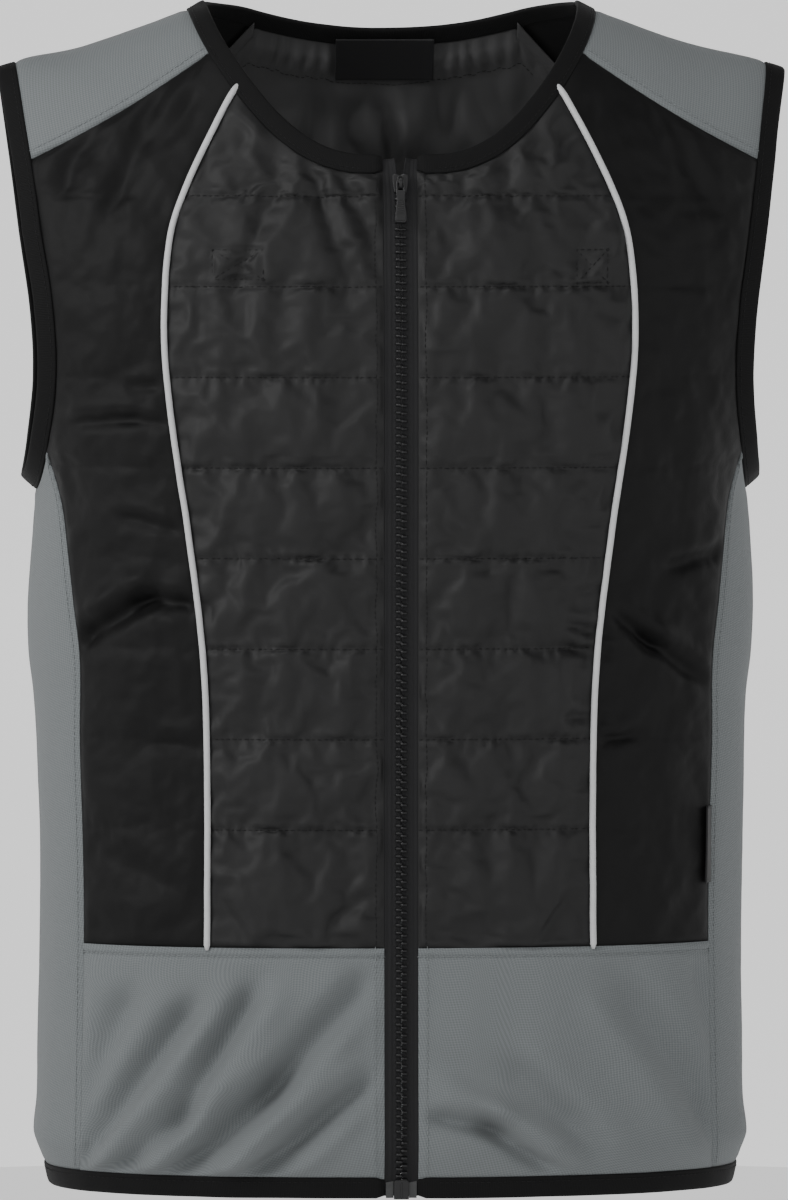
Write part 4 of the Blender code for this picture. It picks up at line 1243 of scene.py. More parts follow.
def path_object(lines):
    """Lines of (point, direction off the cloth) as one object of edges for repeat_along."""
    mesh = bpy.data.meshes.new("line")
    points, edges, offs = [], [], []
    for line in lines:
        first = len(points)
        points += [tuple(point) for point, _ in line]
        offs += [tuple(way) for _, way in line]
        edges += [(first + step, first + step + 1) for step in range(len(line) - 1)]
    mesh.from_pydata(points, edges, [])
    mesh.attributes.new("off_cloth", "FLOAT_VECTOR", "POINT").data.foreach_set(
        "vector", np.array(offs).ravel())
    return shown("line", mesh)


def repeat_tree():
    """Sets a small shape at an even pitch along lines, its Z along them and its -Y off the cloth."""
    tree = bpy.data.node_groups.new("repeat_along", "GeometryNodeTree")
    for name, way, kind in (("Lines", "INPUT", "Geometry"), ("Shape", "INPUT", "Object"),
                            ("Pitch", "INPUT", "Float"), ("Pieces", "OUTPUT", "Geometry")):
        tree.interface.new_socket(name, in_out=way, socket_type="NodeSocket" + kind)
    made = {name: node(tree, kind, **settings) for name, kind, settings in (
        ("given", "NodeGroupInput", {}),
        ("curve", "GeometryNodeMeshToCurve", {}),
        ("evened", "GeometryNodeResampleCurve", {"mode": "LENGTH"}),
        ("tangent", "GeometryNodeInputTangent", {}),
        ("off_cloth", "GeometryNodeInputNamedAttribute",
         {"data_type": "FLOAT_VECTOR", "in_Name": "off_cloth"}),
        ("lengthwise", "FunctionNodeAlignRotationToVector", {"axis": "Z"}),
        ("turned", "FunctionNodeAlignRotationToVector", {"axis": "Y", "pivot_axis": "Z"}),
        ("back", "ShaderNodeVectorMath", {"operation": "SCALE", "in_Scale": -1.0}),
        ("shape", "GeometryNodeObjectInfo", {}),
        ("copies", "GeometryNodeInstanceOnPoints", {}),
        ("real", "GeometryNodeRealizeInstances", {}),
        ("result", "NodeGroupOutput", {}))}
    for start, output, end, given in (
            ("given", "Lines", "curve", "Mesh"),
            ("curve", "Curve", "evened", "Curve"),
            ("given", "Pitch", "evened", "Length"),
            ("evened", "Curve", "copies", "Points"),
            ("given", "Shape", "shape", "Object"),
            ("shape", "Geometry", "copies", "Instance"),
            ("tangent", "Tangent", "lengthwise", "Vector"),
            ("off_cloth", "Attribute", "back", "Vector"),
            ("lengthwise", "Rotation", "turned", "Rotation"),
            ("back", "Vector", "turned", "Vector"),
            ("turned", "Rotation", "copies", "Rotation"),
            ("copies", "Instances", "real", "Geometry"),
            ("real", "Geometry", "result", "Pieces")):
        tree.links.new(made[start].outputs[output], made[end].inputs[given])
    return tree


def repeat_along(name, lines, shape, pitch, finish):
    """A shape repeated along lines, as one plain mesh."""
    line = path_object(lines)
    step = line.modifiers.new("repeat", "NODES")
    step.node_group = REPEAT
    sockets = {item.name: item.identifier for item in REPEAT.interface.items_tree
               if item.in_out == "INPUT"}
    step[sockets["Shape"]] = shape
    step[sockets["Pitch"]] = pitch
    mesh = bpy.data.meshes.new_from_object(line.evaluated_get(bpy.context.evaluated_depsgraph_get()))
    mesh.name = name
    bpy.data.objects.remove(line)
    mesh.materials.clear()
    mesh.materials.append(finish)
    mesh.polygons.foreach_set("material_index", np.zeros(len(mesh.polygons), dtype=np.int32))
    mesh.shade_smooth()
    return shown(name, mesh)


def stitch_shape():
    """One stitch: a short arc of thread whose ends go down into the cloth."""
    mesh = bmesh.new()
    rings = []
    for share in even(4):
        z = (share - 0.5) * STITCH_LENGTH
        y = -STITCH_RISE * math.sin(math.pi * share) + STITCH_RISE * 0.35
        size = STITCH_WIDTH / 2 * (0.6 if share in (0, 1) else 1.0)
        rings.append([mesh.verts.new((size * math.cos(turn), y + size * math.sin(turn), z))
                      for turn in (2 * math.pi * side / STITCH_SIDES for side in range(STITCH_SIDES))])
    skin(mesh, rings)
    return mesh_shape("stitch", mesh)


def mesh_shape(name, mesh):
    """A finished bmesh as an object that isn't shown itself."""
    made = bpy.data.meshes.new(name)
    mesh.to_mesh(made)
    mesh.free()
    return bpy.data.objects.new(name, made)


# Finishes

def node(tree, kind, **settings):
    """A node with settings; a value for an input is given by its name with in_ before it."""
    made = tree.nodes.new(kind)
    for key, value in settings.items():
        if key.startswith("in_"):
            made.inputs[key[3:].replace("_", " ")].default_value = value
        else:
            setattr(made, key, value)
    return made


def bumped(tree, shader, height, strength, distance, under=None):
    """Add a bump of a height to the shader, over another bump."""
    bump = node(tree, "ShaderNodeBump", in_Strength=strength, in_Distance=distance)
    tree.links.new(height, bump.inputs["Height"])
    if under:
        tree.links.new(under.outputs["Normal"], bump.inputs["Normal"])
    tree.links.new(bump.outputs["Normal"], shader.inputs["Normal"])
    return bump


def varied(tree, shader, low, high, amount):
    """Let the colour run from low to high with an amount from 0 to 1."""
    blend = node(tree, "ShaderNodeMix", data_type="RGBA")
    blend.inputs["A"].default_value = (*low, 1.0)
    blend.inputs["B"].default_value = (*high, 1.0)
    tree.links.new(amount, blend.inputs["Factor"])
    tree.links.new(blend.outputs["Result"], shader.inputs["Base Color"])


def maths(tree, operation, value, *numbers):
    """A value put through one operation; numbers are its other inputs."""
    made = node(tree, "ShaderNodeMath", operation=operation)
    for at, number in enumerate(numbers, 1):
        if isinstance(number, (int, float)):
            made.inputs[at].default_value = number
        else:
            tree.links.new(number, made.inputs[at])
    tree.links.new(value, made.inputs[0])
    return made.outputs[0]


def woven(tree, along, across, turn=0):
    """The height of a plain weave whose threads have those pitches in metres, on the UV map."""
    spot = node(tree, "ShaderNodeMapping", in_Rotation=(0, 0, math.radians(turn)),
                in_Scale=(1 / along, 1 / across, 1))
    tree.links.new(node(tree, "ShaderNodeTexCoord").outputs["UV"], spot.inputs["Vector"])
    split = node(tree, "ShaderNodeSeparateXYZ")
    tree.links.new(spot.outputs["Vector"], split.inputs["Vector"])
    threads = [maths(tree, "SINE", maths(tree, "MULTIPLY", split.outputs[axis], 2 * math.pi))
               for axis in "XY"]
    return maths(tree, "MULTIPLY_ADD", maths(tree, "MULTIPLY", *threads), 0.5, 0.5)


def ribbed(tree, pitch, axis):
    """The height of ribs across one direction of the UV map."""
    split = node(tree, "ShaderNodeSeparateXYZ")
    tree.links.new(node(tree, "ShaderNodeTexCoord").outputs["UV"], split.inputs["Vector"])
    return maths(tree, "SINE", maths(tree, "MULTIPLY", split.outputs[axis], 2 * math.pi / pitch))


def cloudy(tree, size, detail=3.0):
    """Noise of a size in metres, on the piece's own place."""
    made = node(tree, "ShaderNodeTexNoise", in_Scale=1 / size, in_Detail=detail, in_Roughness=0.5)
    tree.links.new(node(tree, "ShaderNodeTexCoord").outputs["Object"], made.inputs["Vector"])
    return made.outputs["Fac"]


# What each finish looks like. Its colour runs from low to high with a pattern, mottle. Each bump
# has a pattern, a strength and a depth in metres, over the one before it. A pattern is a function
# with its sizes: woven (pitches, turn in degrees), ribbed (pitch, axis) or cloudy (size, detail).
Finish = namedtuple("Finish", "low high mottle roughness specular sheen sheen_roughness bumps")
CRUSHED = (((cloudy, 0.014), 0.45, 0.0011), ((cloudy, 0.0045, 2.0), 0.20, 0.0004),
           ((woven, 0.0007, 0.0007), 0.25, 0.00008))
MESH = (woven, 0.0025, 0.0020, 32)
TWILL = (woven, 0.0008, 0.0011, 20)
RIBS = (ribbed, 0.0010, "X")
SATIN = (ribbed, 0.0005, "Y")
THREAD_BUMP = (((cloudy, 0.0005, 1.0), 0.40, 0.00006),)
FINISHES = {
    "black_nylon": Finish((0.0055, 0.0055, 0.0057), (0.0090, 0.0090, 0.0092), (cloudy, 0.05),
                          0.55, 0.28, 0.04, 0.45, CRUSHED),
    # Painted shade: the front's nylon darkened to under half its colour, where the panels turn away from the
    # lights, with a lower specular.
    "black_nylon_sides": Finish((0.0022, 0.0022, 0.0023), (0.0042, 0.0042, 0.0043), (cloudy, 0.05),
                                0.55, 0.15, 0.04, 0.45, CRUSHED),
    # Painted sheen: the same nylon as the front, lightened about six times for the sheen that the lining
    # catches inside the neck.
    "black_lining": Finish((0.034, 0.034, 0.0345), (0.052, 0.052, 0.0526), (cloudy, 0.05),
                           0.55, 0.28, 0.04, 0.45, CRUSHED),
    "grey_knit": Finish((0.104, 0.113, 0.116), (0.160, 0.173, 0.177), MESH, 0.88, 0.20, 0.06, 0.60,
                        (((cloudy, 0.012), 0.20, 0.0008), (MESH, 0.60, 0.00025))),
    "black_binding": Finish((0.0025, 0.0025, 0.0026), (0.007, 0.007, 0.0072), RIBS, 0.75, 0.14, 0.015,
                            0.5, (((cloudy, 0.006), 0.30, 0.0005), (RIBS, 0.45, 0.00012))),
    "silver_piping": Finish((0.42, 0.424, 0.428), (0.52, 0.525, 0.53), (cloudy, 0.004), 0.42, 0.5,
                            0.10, 0.5, (((woven, 0.0006, 0.0006, 45), 0.40, 0.00008),)),
    "zip_tape": Finish((0.010, 0.010, 0.0105), (0.024, 0.024, 0.025), TWILL, 0.80, 0.12, 0.0, 0.5,
                       ((TWILL, 0.60, 0.00015),)),
    "black_plastic": Finish((0.006, 0.006, 0.0065), (0.011, 0.011, 0.0115), (cloudy, 0.003), 0.38, 0.35,
                            0.0, 0.5, (((cloudy, 0.0006, 2.0), 0.20, 0.00006),)),
    "end_film": Finish((0.020, 0.021, 0.021), (0.034, 0.035, 0.035), (cloudy, 0.002), 0.45, 0.5, 0.0,
                       0.5, (((woven, 0.0008, 0.0011), 0.30, 0.00006),)),
    "black_label": Finish((0.004, 0.004, 0.0045), (0.008, 0.008, 0.0085), SATIN, 0.50, 0.25, 0.03, 0.5,
                          ((SATIN, 0.35, 0.00005),)),
    "black_thread": Finish(None, (0.006, 0.006, 0.0063), None, 0.60, 0.25, 0.0, 0.5, THREAD_BUMP),
    "grey_thread": Finish(None, (0.190, 0.203, 0.207), None, 0.60, 0.25, 0.0, 0.5, THREAD_BUMP),
    "pale_floor": Finish((0.29, 0.29, 0.29), (0.31, 0.31, 0.31), (cloudy, 0.5), 0.9, 0.5, 0.0, 0.5, ()),
}


def finished(name):
    """The material that a row of FINISHES describes."""
    row = FINISHES[name]
    material = bpy.data.materials.new(name)
    material.use_nodes = True
    tree = material.node_tree
    shader = tree.nodes["Principled BSDF"]
    for socket, value in (("Roughness", row.roughness), ("Specular IOR Level", row.specular),
                          ("Sheen Weight", row.sheen), ("Sheen Roughness", row.sheen_roughness)):
        shader.inputs[socket].default_value = value
    patterns = {}

    def pattern(kind, *sizes):
        if (kind, *sizes) not in patterns:
            patterns[(kind, *sizes)] = kind(tree, *sizes)
        return patterns[(kind, *sizes)]

    if row.mottle:
        varied(tree, shader, row.low, row.high, pattern(*row.mottle))
    else:
        shader.inputs["Base Color"].default_value = (*row.high, 1.0)
    under = None
    for height, strength, depth in row.bumps:
        under = bumped(tree, shader, pattern(*height), strength, depth, under)
    return material


# The zip

def slider_frame():
    """Places a shape on the chest at the slider: local -Y off the chest, Z up it."""
    z = neck_z(0, False) - SLIDER_DROP
    point = body(0, z, False)
    away = outward(point)
    up = (body(0, z + 0.005, False) - body(0, z - 0.005, False)).normalized()
    turn = Matrix((up.cross(away), -away, up)).transposed().to_4x4()
    return Matrix.Translation(point) @ turn


def zip_tape(side):
    """Woven tape from under the teeth to behind the cloth beside the zip."""
    top = neck_z(0, False) + NECK_BAND * 0.6
    bottom = -LENGTH + 0.0015
    rows = 180

    def place(u, row):
        z = mix(bottom, top, row / rows)
        spread = max(z - (neck_z(0, False) - PARTING_STARTS), 0.0) / PARTING_LENGTH
        near = TAPE_GAP + TAPE_PARTING * spread ** 1.4
        point = body(side * mix(near, ZIP_HALF_WIDTH + TAPE_UNDER, u), z, False)
        bead = TAPE_BEAD * math.exp(-(u / 0.12) ** 2)
        curl = TAPE_CURLS[side] * min(spread, 1.0) * math.exp(-(u / 0.22) ** 2)
        ribs = TAPE_RIB * math.cos(u * 9 * math.pi)
        return point - outward(point) * (TAPE_SINK - bead - curl - ribs)

    outer = grid(even(40), rows + 1, place)
    inner = off(outer, np.full(outer.shape[:2], -TAPE_WALL))
    return cloth_piece("zip_tape_" + hand_of(side), outer, inner, TAPE, TAPE)


def tooth_shape(side):
    """One moulded tooth, from its tape to the rounded head that locks past the middle."""
    mesh = bmesh.new()
    half = ((3.35, 0.75), (1.9, 0.72), (1.2, 0.62), (0.55, 0.95), (-0.35, 0.80))
    outline = [(x, -z) for x, z in half] + [(-0.70, 0.0)] + list(half[::-1])
    for vert in plate(mesh, [(side * x, z) for x, z in outline], TOOTH_HALF, -TOOTH_HALF):
        vert.co.x = side * TOOTH_CENTRE + (vert.co.x - side * TOOTH_CENTRE) * 0.86
        vert.co.z *= 0.78
    bmesh.ops.recalc_face_normals(mesh, faces=mesh.faces)
    return mesh_shape("tooth", mesh)


def zip_teeth():
    """Both rows of teeth, half a pitch apart."""
    top = neck_z(0, False) - SLIDER_DROP
    bottom = -LENGTH + BOX_HEIGHT
    rows = []
    for side, late in ((1, 0.0), (-1, TOOTH_PITCH / 2)):
        line = []
        for share in even(140):
            point = body(0, mix(bottom + late, top, share), False)
            away = outward(point)
            line.append((point - away * 0.0003, away))
        rows.append(repeat_along("teeth", [line], tooth_shape(side), TOOTH_PITCH, PLASTIC))
    return joined("zip_chain_teeth", rows)


def joined(name, pieces):
    """Several plain pieces as one."""
    mesh = bmesh.new()
    for piece in pieces:
        mesh.from_mesh(piece.data)
    finish = pieces[0].data.materials[0]
    for piece in pieces:
        bpy.data.objects.remove(piece)
    return mesh_piece(name, mesh, finish)


def plate(mesh, outline, back, front):
    """A plate of an outline in millimetres (across, up), between two depths in metres.

    Returns the corners of its front.
    """
    face = mesh.faces.new([mesh.verts.new((x / 1000, back, z / 1000)) for x, z in outline])
    risen = bmesh.ops.extrude_face_region(mesh, geom=[face])
    corners = [part for part in risen["geom"] if isinstance(part, bmesh.types.BMVert)]
    for vert in corners:
        vert.co.y = front
    return corners


def oblong(half, bottom, top):
    """The outline of a plate that is twice half wide."""
    return (-half, bottom), (half, bottom), (half, top), (-half, top)


def moulded(name, plates, finish):
    """A piece made of plates, each an outline with its back's and its front's depth."""
    mesh = bmesh.new()
    for outline, back, front in plates:
        plate(mesh, outline, back, front)
    bmesh.ops.recalc_face_normals(mesh, faces=mesh.faces)
    return mesh_piece(name, mesh, finish, smooth=False)


def soft_edges(piece, width):
    soften = piece.modifiers.new("edges", "BEVEL")
    soften.width = width
    soften.segments = 2
    soften.limit_method = "ANGLE"
    return piece


def zip_slider():
    """Slider: its shouldered front plate and the loop that the pull hangs from."""
    outline = ((-4.4, 5.0), (-4.5, 1.5), (-4.1, -2.0), (-3.5, -5.4), (3.5, -5.4), (4.1, -2.0),
               (4.5, 1.5), (4.4, 5.0), (2.6, 5.5), (0.0, 4.7), (-2.6, 5.5))
    front = moulded("zip_slider_plate", ((outline, -0.0009, -0.0027),
                                         (oblong(1.7, -3.9, 3.9), -0.0026, -0.0033)), PLASTIC)
    loop = bmesh.new()
    rings = []
    for share in even(14):
        out = Vector((0, -math.sin(math.pi * share), math.cos(math.pi * share)))
        middle = Vector((0, out.y * 0.0044 - 0.0031, out.z * 0.0036))
        rings.append([loop.verts.new(middle + out * y / 1000 + Vector((x / 1000, 0, 0)))
                      for x, y in oblong(0.9, -0.5, 0.5)])
    skin(loop, rings)
    bridge = mesh_piece("zip_slider_loop", loop, PLASTIC, smooth=False)
    place = slider_frame()
    for piece, width in ((front, 0.00045), (bridge, 0.0003)):
        piece.data.transform(place)
        soft_edges(piece, width)
    return front, bridge


def zip_pull():
    """Pull: an eye on the slider's loop, a slim neck and a ribbed grip with a moulded rim."""
    half = ((2.4, -23.8), (3.3, -22.6), (3.2, -18.5), (2.6, -14.5), (2.4, -9.0), (2.7, -6.0), (2.6, 0.9))
    outline = [(-x, z) for x, z in half[::-1]] + list(half)
    tab = moulded("zip_pull_tab", ((outline, PULL_HALF_WALL, -PULL_HALF_WALL),), PLASTIC)
    cutter = moulded("window", ((oblong(1.5, -4.8, -0.8), 0.003, -0.003),), PLASTIC)
    cut = tab.modifiers.new("eye", "BOOLEAN")
    cut.operation = "DIFFERENCE"
    cut.solver = "EXACT"
    cut.object = cutter
    cut_mesh = bpy.data.meshes.new_from_object(tab.evaluated_get(bpy.context.evaluated_depsgraph_get()))
    tab.modifiers.clear()
    tab.data = cut_mesh
    bpy.data.objects.remove(cutter)
    ribs = [(oblong(1.7 if step < 5 else 2.0, z - 0.6, z), -0.0007, -0.00115)
            for step, z in enumerate(-10.2 - 1.25 * step for step in range(7))]
    grip = moulded("zip_pull_grip", [*ribs, (oblong(2.5, -22.8, -20.0), -0.0007, -0.00125)], PLASTIC)
    place = slider_frame() @ Matrix.Translation((0, PULL_AXIS, 0))
    for piece, width in ((tab, 0.00035), (grip, 0.00012)):
        piece.data.transform(place)
        soft_edges(piece, width)
    return tab, grip


def on_the_box(piece, back=0.0):
    """Move a piece to the zip's lower end, so far behind the front's surface."""
    point = body(0, -LENGTH + BOX_HEIGHT / 2, False)
    piece.data.transform(Matrix.Translation((0, point.y + back, -LENGTH)))
    return piece


def zip_box():
    """Box at the zip's lower end, with a rib down the middle."""
    half = BOX_WIDTH * 500
    high = BOX_HEIGHT * 1000
    outline = ((-half, 0), (half, 0), (half, high - 1.2), (half - 1.0, high), (1.0 - half, high),
               (-half, high - 1.2))
    piece = moulded("zip_box_moulded", ((outline, 0.0019, -0.0021),
                                        (oblong(0.5, 0.8, high - 1.6), -0.0020, -0.0026)), PLASTIC)
    return soft_edges(on_the_box(piece), 0.0005)


def film_patches():
    """The stiff film pressed on both tapes beside the box."""
    high = BOX_HEIGHT * 1000
    plates = []
    for side in (-1, 1):
        left, right = sorted((side * (BOX_WIDTH * 500 + 0.2), side * (ZIP_HALF_WIDTH * 1000 - 0.9)))
        outline = ((left, 0.6), (right, 0.6), (right, high - 0.8), (left, high - 1.6))
        plates.append((outline, 0.0002, -0.0003))
    return on_the_box(moulded("zip_end_film", plates, FILM), TAPE_SINK - 0.0006)


# Labels

def seam_tape(side):
    """Narrow tape over the yoke's back seam, inside the neck."""
    def place(u, row):
        x, z = yoke_seam(mix(0.01, 0.80, u), True, mix(0.0052, -0.0052, row / 8))
        point = body(x, z, True)
        rib = 0.0006 * math.exp(-((row - 4) / 1.3) ** 2)
        point = point - outward(point) * (SEAM_TAPE_STAND + rib)
        return on_side(side, point)

    base = grid(even(60), 9, place)
    outer, inner = (off(base, np.full(base.shape[:2], height)) for height in (0.0003, -0.0003))
    # The seam tape takes the lining's nylon, lightened with painted sheen.
    return cloth_piece("seam_tape_" + hand_of(side), outer, inner, SHEEN_PAINTED_LINING, SHEEN_PAINTED_LINING)


def neck_label():
    """Plain woven label inside the back of the neck, its sides folded under."""
    def place(u, row):
        x = mix(-0.5, 0.5, u) * NECK_LABEL_WIDTH
        v = row / 24
        top = neck_z(NECK_LABEL_WIDTH / 3, True) + NECK_LABEL_TUCK
        z = top - (1 - v) * (NECK_LABEL_HEIGHT + NECK_LABEL_TUCK)
        point = body(NECK_LABEL_WIDTH / 3, z, True)
        bow = NECK_LABEL_BOW * (2 * u - 1) ** 2
        stand = NECK_LABEL_STAND - NECK_LABEL_LEAN * v + 0.0006 * math.sin(5 * u + 1.5 * v) + bow
        return Vector((x, point.y - stand, z))

    base = grid(shares(NECK_LABEL_WIDTH, 0.002), 25, place)
    across = lengths_along(base, 1)
    fold = np.minimum(across, across[:, -1:] - across)
    thick = NECK_LABEL_WALL + NECK_LABEL_FOLD_WALL * (fold < NECK_LABEL_FOLD)
    normals = facing(base)
    outer = base - normals * thick[..., None] / 2
    inner = base + normals * thick[..., None] / 2
    return cloth_piece("neck_label_woven", outer, inner, LABEL, LABEL)


def side_label():
    """Small folded label held in the left side seam, lying forward over the quilting."""
    def place(u, row):
        v = row / 20
        z = -SIDE_LABEL_TOP - (1 - v) * SIDE_LABEL_HEIGHT
        x = beside(seam_x(SIDE_SEAM, z), z, -(1 - u) * SIDE_LABEL_WIDTH)
        point = body(x, z, False)
        lift = 0.0004 + 0.0034 * (1 - u) ** 0.8 + 0.0004 * math.sin(3 * v + 2 * u)
        return point + outward(point) * lift

    outer = grid(even(6), 21, place)
    inner = off(outer, np.full(outer.shape[:2], -0.0009))
    return cloth_piece("side_label_folded", outer, inner, LABEL, LABEL)


# Stitches

def row_line(outer, row, lift=0.0, first=0, last=None):
    """A grid row as a line of points and directions off the cloth."""
    normals = facing(outer)
    span = range(first, outer.shape[1] if last is None else last)
    return [(Vector(outer[row, column]) + Vector(normals[row, column]) * lift,
             Vector(normals[row, column])) for column in span]


def column_line(outer, distance, lift=0.0, first=0, last=None):
    """The line at a distance along the cloth from the grid's first column, or its last if negative."""
    across = lengths_along(outer, 1)
    if distance < 0:
        across = across - across[:, -1:]
    normals = facing(outer)
    line = []
    for row in range(first, outer.shape[0] if last is None else last % outer.shape[0]):
        point = Vector([np.interp(distance, across[row], outer[row, :, axis]) for axis in range(3)])
        away = Vector([np.interp(distance, across[row], normals[row, :, axis]) for axis in range(3)])
        line.append((point + away * lift, away))
    return line


def level_line(outer, distance, lift=0.0, first=0, last=None):
    """The line at a distance below the grid's top row, or above its bottom row if negative."""
    return column_line(np.swapaxes(outer, 0, 1), -distance, lift, first, last)


# Putting it together

(NYLON, PAINTED_SHADE_NYLON, SHEEN_PAINTED_LINING, KNIT, BINDING, PIPING, TAPE, PLASTIC, FILM, LABEL, BLACK_THREAD, GREY_THREAD,
 FLOOR) = [finished(name) for name in FINISHES]
FLOOR.node_tree.nodes["Principled BSDF"].inputs["Emission Color"].default_value = (1.0, 1.0, 1.0, 1.0)
FLOOR.node_tree.nodes["Principled BSDF"].inputs["Emission Strength"].default_value = FLOOR_GLOW
REPEAT = repeat_tree()

HANDS = ((1, "left"), (-1, "right"))
Panel = namedtuple("Panel", "name base stitched fullness crumple looseness")


def make_quilting():
    """The five quilted panels, swollen together. Returns the lines of their stitches."""
    plan = [Panel("back_panel", *back_grid(), 0.80, 0.4, (0.80, 2))]
    for side, hand in HANDS:
        plan.append(Panel("front_centre_" + hand, *front_centre_grid(side), 0.40, 0.62, (1.10, 1)))
        plan.append(Panel("front_side_" + hand, *front_side_grid(side), 0.08, 0.35, (0.45, 4)))
    faces, pinned = [], []
    for seed, panel in enumerate(plan):
        held = np.zeros(panel.base.shape[:2], dtype=bool)
        held[[0, 1, -1, -2]] = True
        held[:, [0, 1, -1, -2]] = True
        held[panel.stitched] = True
        faces.append(filled(panel, seed * 11))
        pinned.append(held)
    faces = swell(faces, pinned, [panel.looseness for panel in plan])
    quilting, edges = [], []
    for seed, (panel, face) in enumerate(zip(plan, faces)):
        piece, outer, inner, rows = quilted_panel(panel, face, seed * 13)
        sewn_in(piece, "black_nylon", panel.name)
        last = outer.shape[1] - 3
        if "side" not in panel.name:
            quilting += [row_line(outer, row, 0.0001, 3, last) for row in rows]
        if "centre" in panel.name:
            edges.append(column_line(outer, ZIP_TOPSTITCH, 0.0, 4, -4))
            for square in SQUARES:
                if panel.name.endswith(hand_of(square.side)):
                    quilting += square_stitches(square, outer)
        if panel.name == "back_panel":
            sewn = level_line(inner, LINING_SEAM)
            edges.append([(point, -away) for point, away in sewn if abs(point.x) < 0.09])
    return quilting, edges


def make_knit():
    """The plain knit pieces. Returns their lines of stitches."""
    lines = []

    def made(name, base, seed, lining=KNIT, folds=(), seam_rows=()):
        piece, outer = knit_piece("knit_" + name, base, seed, lining, folds, seam_rows)
        return sewn_in(piece, "grey_knit", name), outer

    def stitched(line_of, outer, *distances):
        lines.extend(line_of(outer, distance, 0.0002, 2, -2) for distance in distances)

    for side, hand in HANDS:
        piece, outer = made("front_band_" + hand, front_band_grid(side), 40 + side, folds=KNIT_FOLDS,
                            seam_rows=(SEAM_TOPSTITCH,))
        stitched(level_line, outer, SEAM_TOPSTITCH)
        stitched(column_line, outer, ZIP_TOPSTITCH)
        piece, outer = made("side_panel_" + hand, side_panel_grid(side), 50 + side)
        stitched(column_line, outer, SIDE_TOPSTITCH, -SIDE_TOPSTITCH)
        # The yoke's inside takes the nylon darkened with painted shade.
        piece, outer = made("yoke_" + hand, yoke_grid(side), 60 + side, PAINTED_SHADE_NYLON)
        stitched(level_line, outer, YOKE_TOPSTITCH, -YOKE_TOPSTITCH)
    piece, outer = made("back_band", back_band_grid(), 70, seam_rows=(SEAM_TOPSTITCH,))
    stitched(level_line, outer, SEAM_TOPSTITCH)
    return lines


def make_bands():
    """The bound edges. Returns their lines of stitches."""
    around = 2 * math.pi
    gap = neck_turn(ZIP_HALF_WIDTH, False)
    hem_gap = angle_round(ZIP_HALF_WIDTH, -(LENGTH - HEM_BAND), False)
    neck = edge_frames(neck_at, [mix(gap, around - gap, share) for share in even(240)])
    hem = hem_frames([mix(hem_gap, around - hem_gap, share) for share in even(380)])
    plan = [("neck_binding", "", neck, NECK_BAND, 3)]
    for side in (1, -1):
        frames = edge_frames(armhole_at, [around * share for share in even(220)[:-1]], side, ARMHOLE_FLARE)
        plan.append(("armhole_binding", "_" + hand_of(side), frames, ARMHOLE_BAND, 8 + side))
    plan.append(("hem_binding", "", hem, HEM_BAND, 12))
    lines = []
    for name, hand, frames, width, seed in plan:
        piece, stitches = band(name + "_folded" + hand, frames, width, bool(hand), seed)
        sewn_in(piece, "black_binding", name + hand)
        lines.append(stitches)
    return lines


def make_piping():
    top, bottom = piping_top() + 0.005, -LOWER_SEAM - 0.0015
    for side, hand in HANDS:
        points = []
        for share in even(170):
            z = mix(top, bottom, share)
            point = body(side * seam_x(PIPING_SEAM, z), z, False)
            sway = Vector((0.00018 * noise.noise(Vector((0, side * 5, z / 0.018))), 0, 0))
            tucked = PIPING_TUCK * max(1 - (top - z) / 0.009, 0.0) ** 1.5
            points.append(point + outward(point) * (PIPING_STAND - 0.0004 - tucked) + sway)
        piece = swept_tube("piping_cord_" + hand, points, PIPING_RADIUS, 12, PIPING)
        sewn_in(piece, "silver_piping", "piping_" + hand)


def make_zip():
    for side, hand in HANDS:
        piece = zip_tape(side)
        sewn_in(piece, "zip_tape", "zip_tape_" + hand)
    sewn_in(zip_teeth(), "black_plastic", "zip_chain")
    for pieces, node_name, rides in ((zip_slider(), "zip_slider", "vest"), (zip_pull(), "zip_pull", "pull")):
        sewn_in(pieces[0], "black_plastic", node_name, body=rides)
        sewn_in(pieces[1], "black_plastic", body=rides)
    sewn_in(zip_box(), "black_plastic", "zip_box")
    sewn_in(film_patches(), "zip_tape")


def make_labels():
    piece = neck_label()
    sewn_in(piece, "black_label", "neck_label")
    piece = side_label()
    sewn_in(piece, "black_label", "side_label")
    for side, hand in HANDS:
        piece = seam_tape(side)
        sewn_in(piece, "black_binding")


def make_stitches(quilting, black, grey):
    stitch = stitch_shape()
    for name, lines, pitch, thread, slot in (
            ("quilting_stitches", quilting, QUILT_STITCH_PITCH, BLACK_THREAD, "black_nylon"),
            ("binding_stitches", black, EDGE_STITCH_PITCH, BLACK_THREAD, "black_nylon"),
            ("knit_stitches", grey, EDGE_STITCH_PITCH, GREY_THREAD, "grey_knit")):
        sewn_in(repeat_along(name, lines, stitch, pitch, thread), slot)


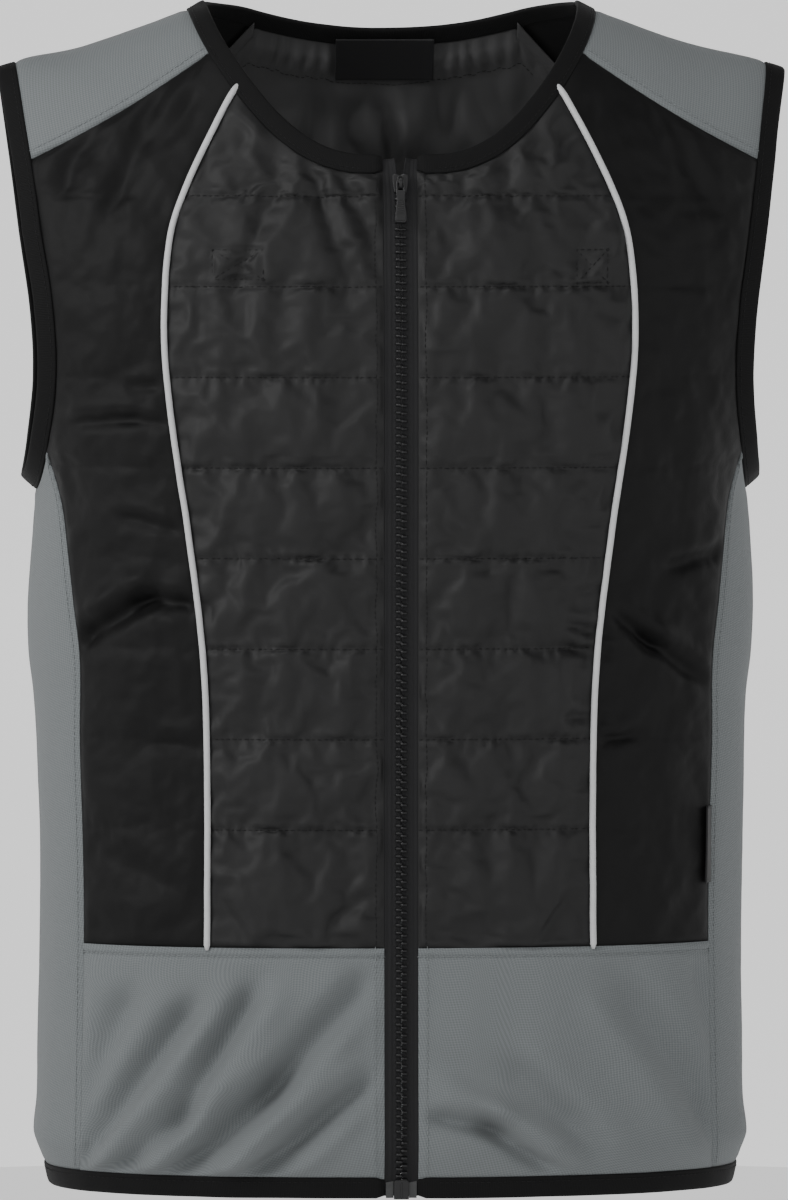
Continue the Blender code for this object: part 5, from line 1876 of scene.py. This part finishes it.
def make_floor():
    """A wide round floor that rises into a backdrop on every side."""
    quarter = [math.pi / 2 * share for share in even(8)[1:]]
    profile = [(reach, 0.0) for reach in (0.8, 3.0, FLOOR_RADIUS)]
    profile += [(FLOOR_RADIUS + SWEEP * math.sin(turn), SWEEP * (1 - math.cos(turn))) for turn in quarter]
    profile.append((FLOOR_RADIUS + SWEEP, 8.0))
    level = -LENGTH - FLOOR_BELOW_HEM
    mesh = bmesh.new()
    turns = [2 * math.pi * share for share in even(64)[:-1]]
    rings = [[mesh.verts.new((reach * math.cos(turn), reach * math.sin(turn), rise + level))
              for turn in turns] for reach, rise in profile]
    mesh.faces.new(rings[0])
    for first, second in zip(rings, rings[1:]):
        for a, b, c, d in zip(first, first[1:] + first[:1], second[1:] + second[:1], second):
            mesh.faces.new((a, b, c, d))
    mesh_piece("studio_floor", mesh, FLOOR)


def make_lights():
    world = bpy.context.scene.world or bpy.data.worlds.new("studio")
    bpy.context.scene.world = world
    world.use_nodes = True
    shade = world.node_tree.nodes["Background"]
    shade.inputs["Color"].default_value = (0.95, 0.97, 1.0, 1.0)
    shade.inputs["Strength"].default_value = 0.04
    for row in LIGHTS:
        light = bpy.data.lights.new(row.name, "AREA")
        light.size = row.size
        light.energy = row.power
        lamp = shown(row.name, light)
        lamp.location = row.place
        aim = Vector((0, 0, CAMERA_LEVEL)) - Vector(row.place)
        lamp.rotation_euler = aim.to_track_quat("-Z", "Y").to_euler()


def make_camera():
    turn, rise = math.radians(CAMERA_TURN), math.radians(CAMERA_RISE)
    ahead = Vector((-math.sin(turn) * math.cos(rise), math.cos(turn) * math.cos(rise), -math.sin(rise)))
    aside = Vector((math.cos(turn), math.sin(turn), 0))
    lens = bpy.data.cameras.new("camera")
    lens.sensor_fit = "VERTICAL"
    lens.sensor_height = 24.0
    lens.lens = lens.sensor_height * CAMERA_REACH / FRAME_HEIGHT
    lens.clip_end = 60.0
    camera = shown("camera", lens)
    aim = Vector((0, 0, CAMERA_LEVEL)) + aside * CAMERA_ASIDE
    camera.location = aim - ahead * CAMERA_REACH
    camera.rotation_euler = ahead.to_track_quat("-Z", "Y").to_euler()
    bpy.context.scene.camera = camera


make_floor()
make_lights()
make_camera()
quilt_lines, black_lines = make_quilting()
grey_lines = make_knit()
black_lines += make_bands()
make_piping()
make_zip()
make_labels()
make_stitches(quilt_lines, black_lines, grey_lines)
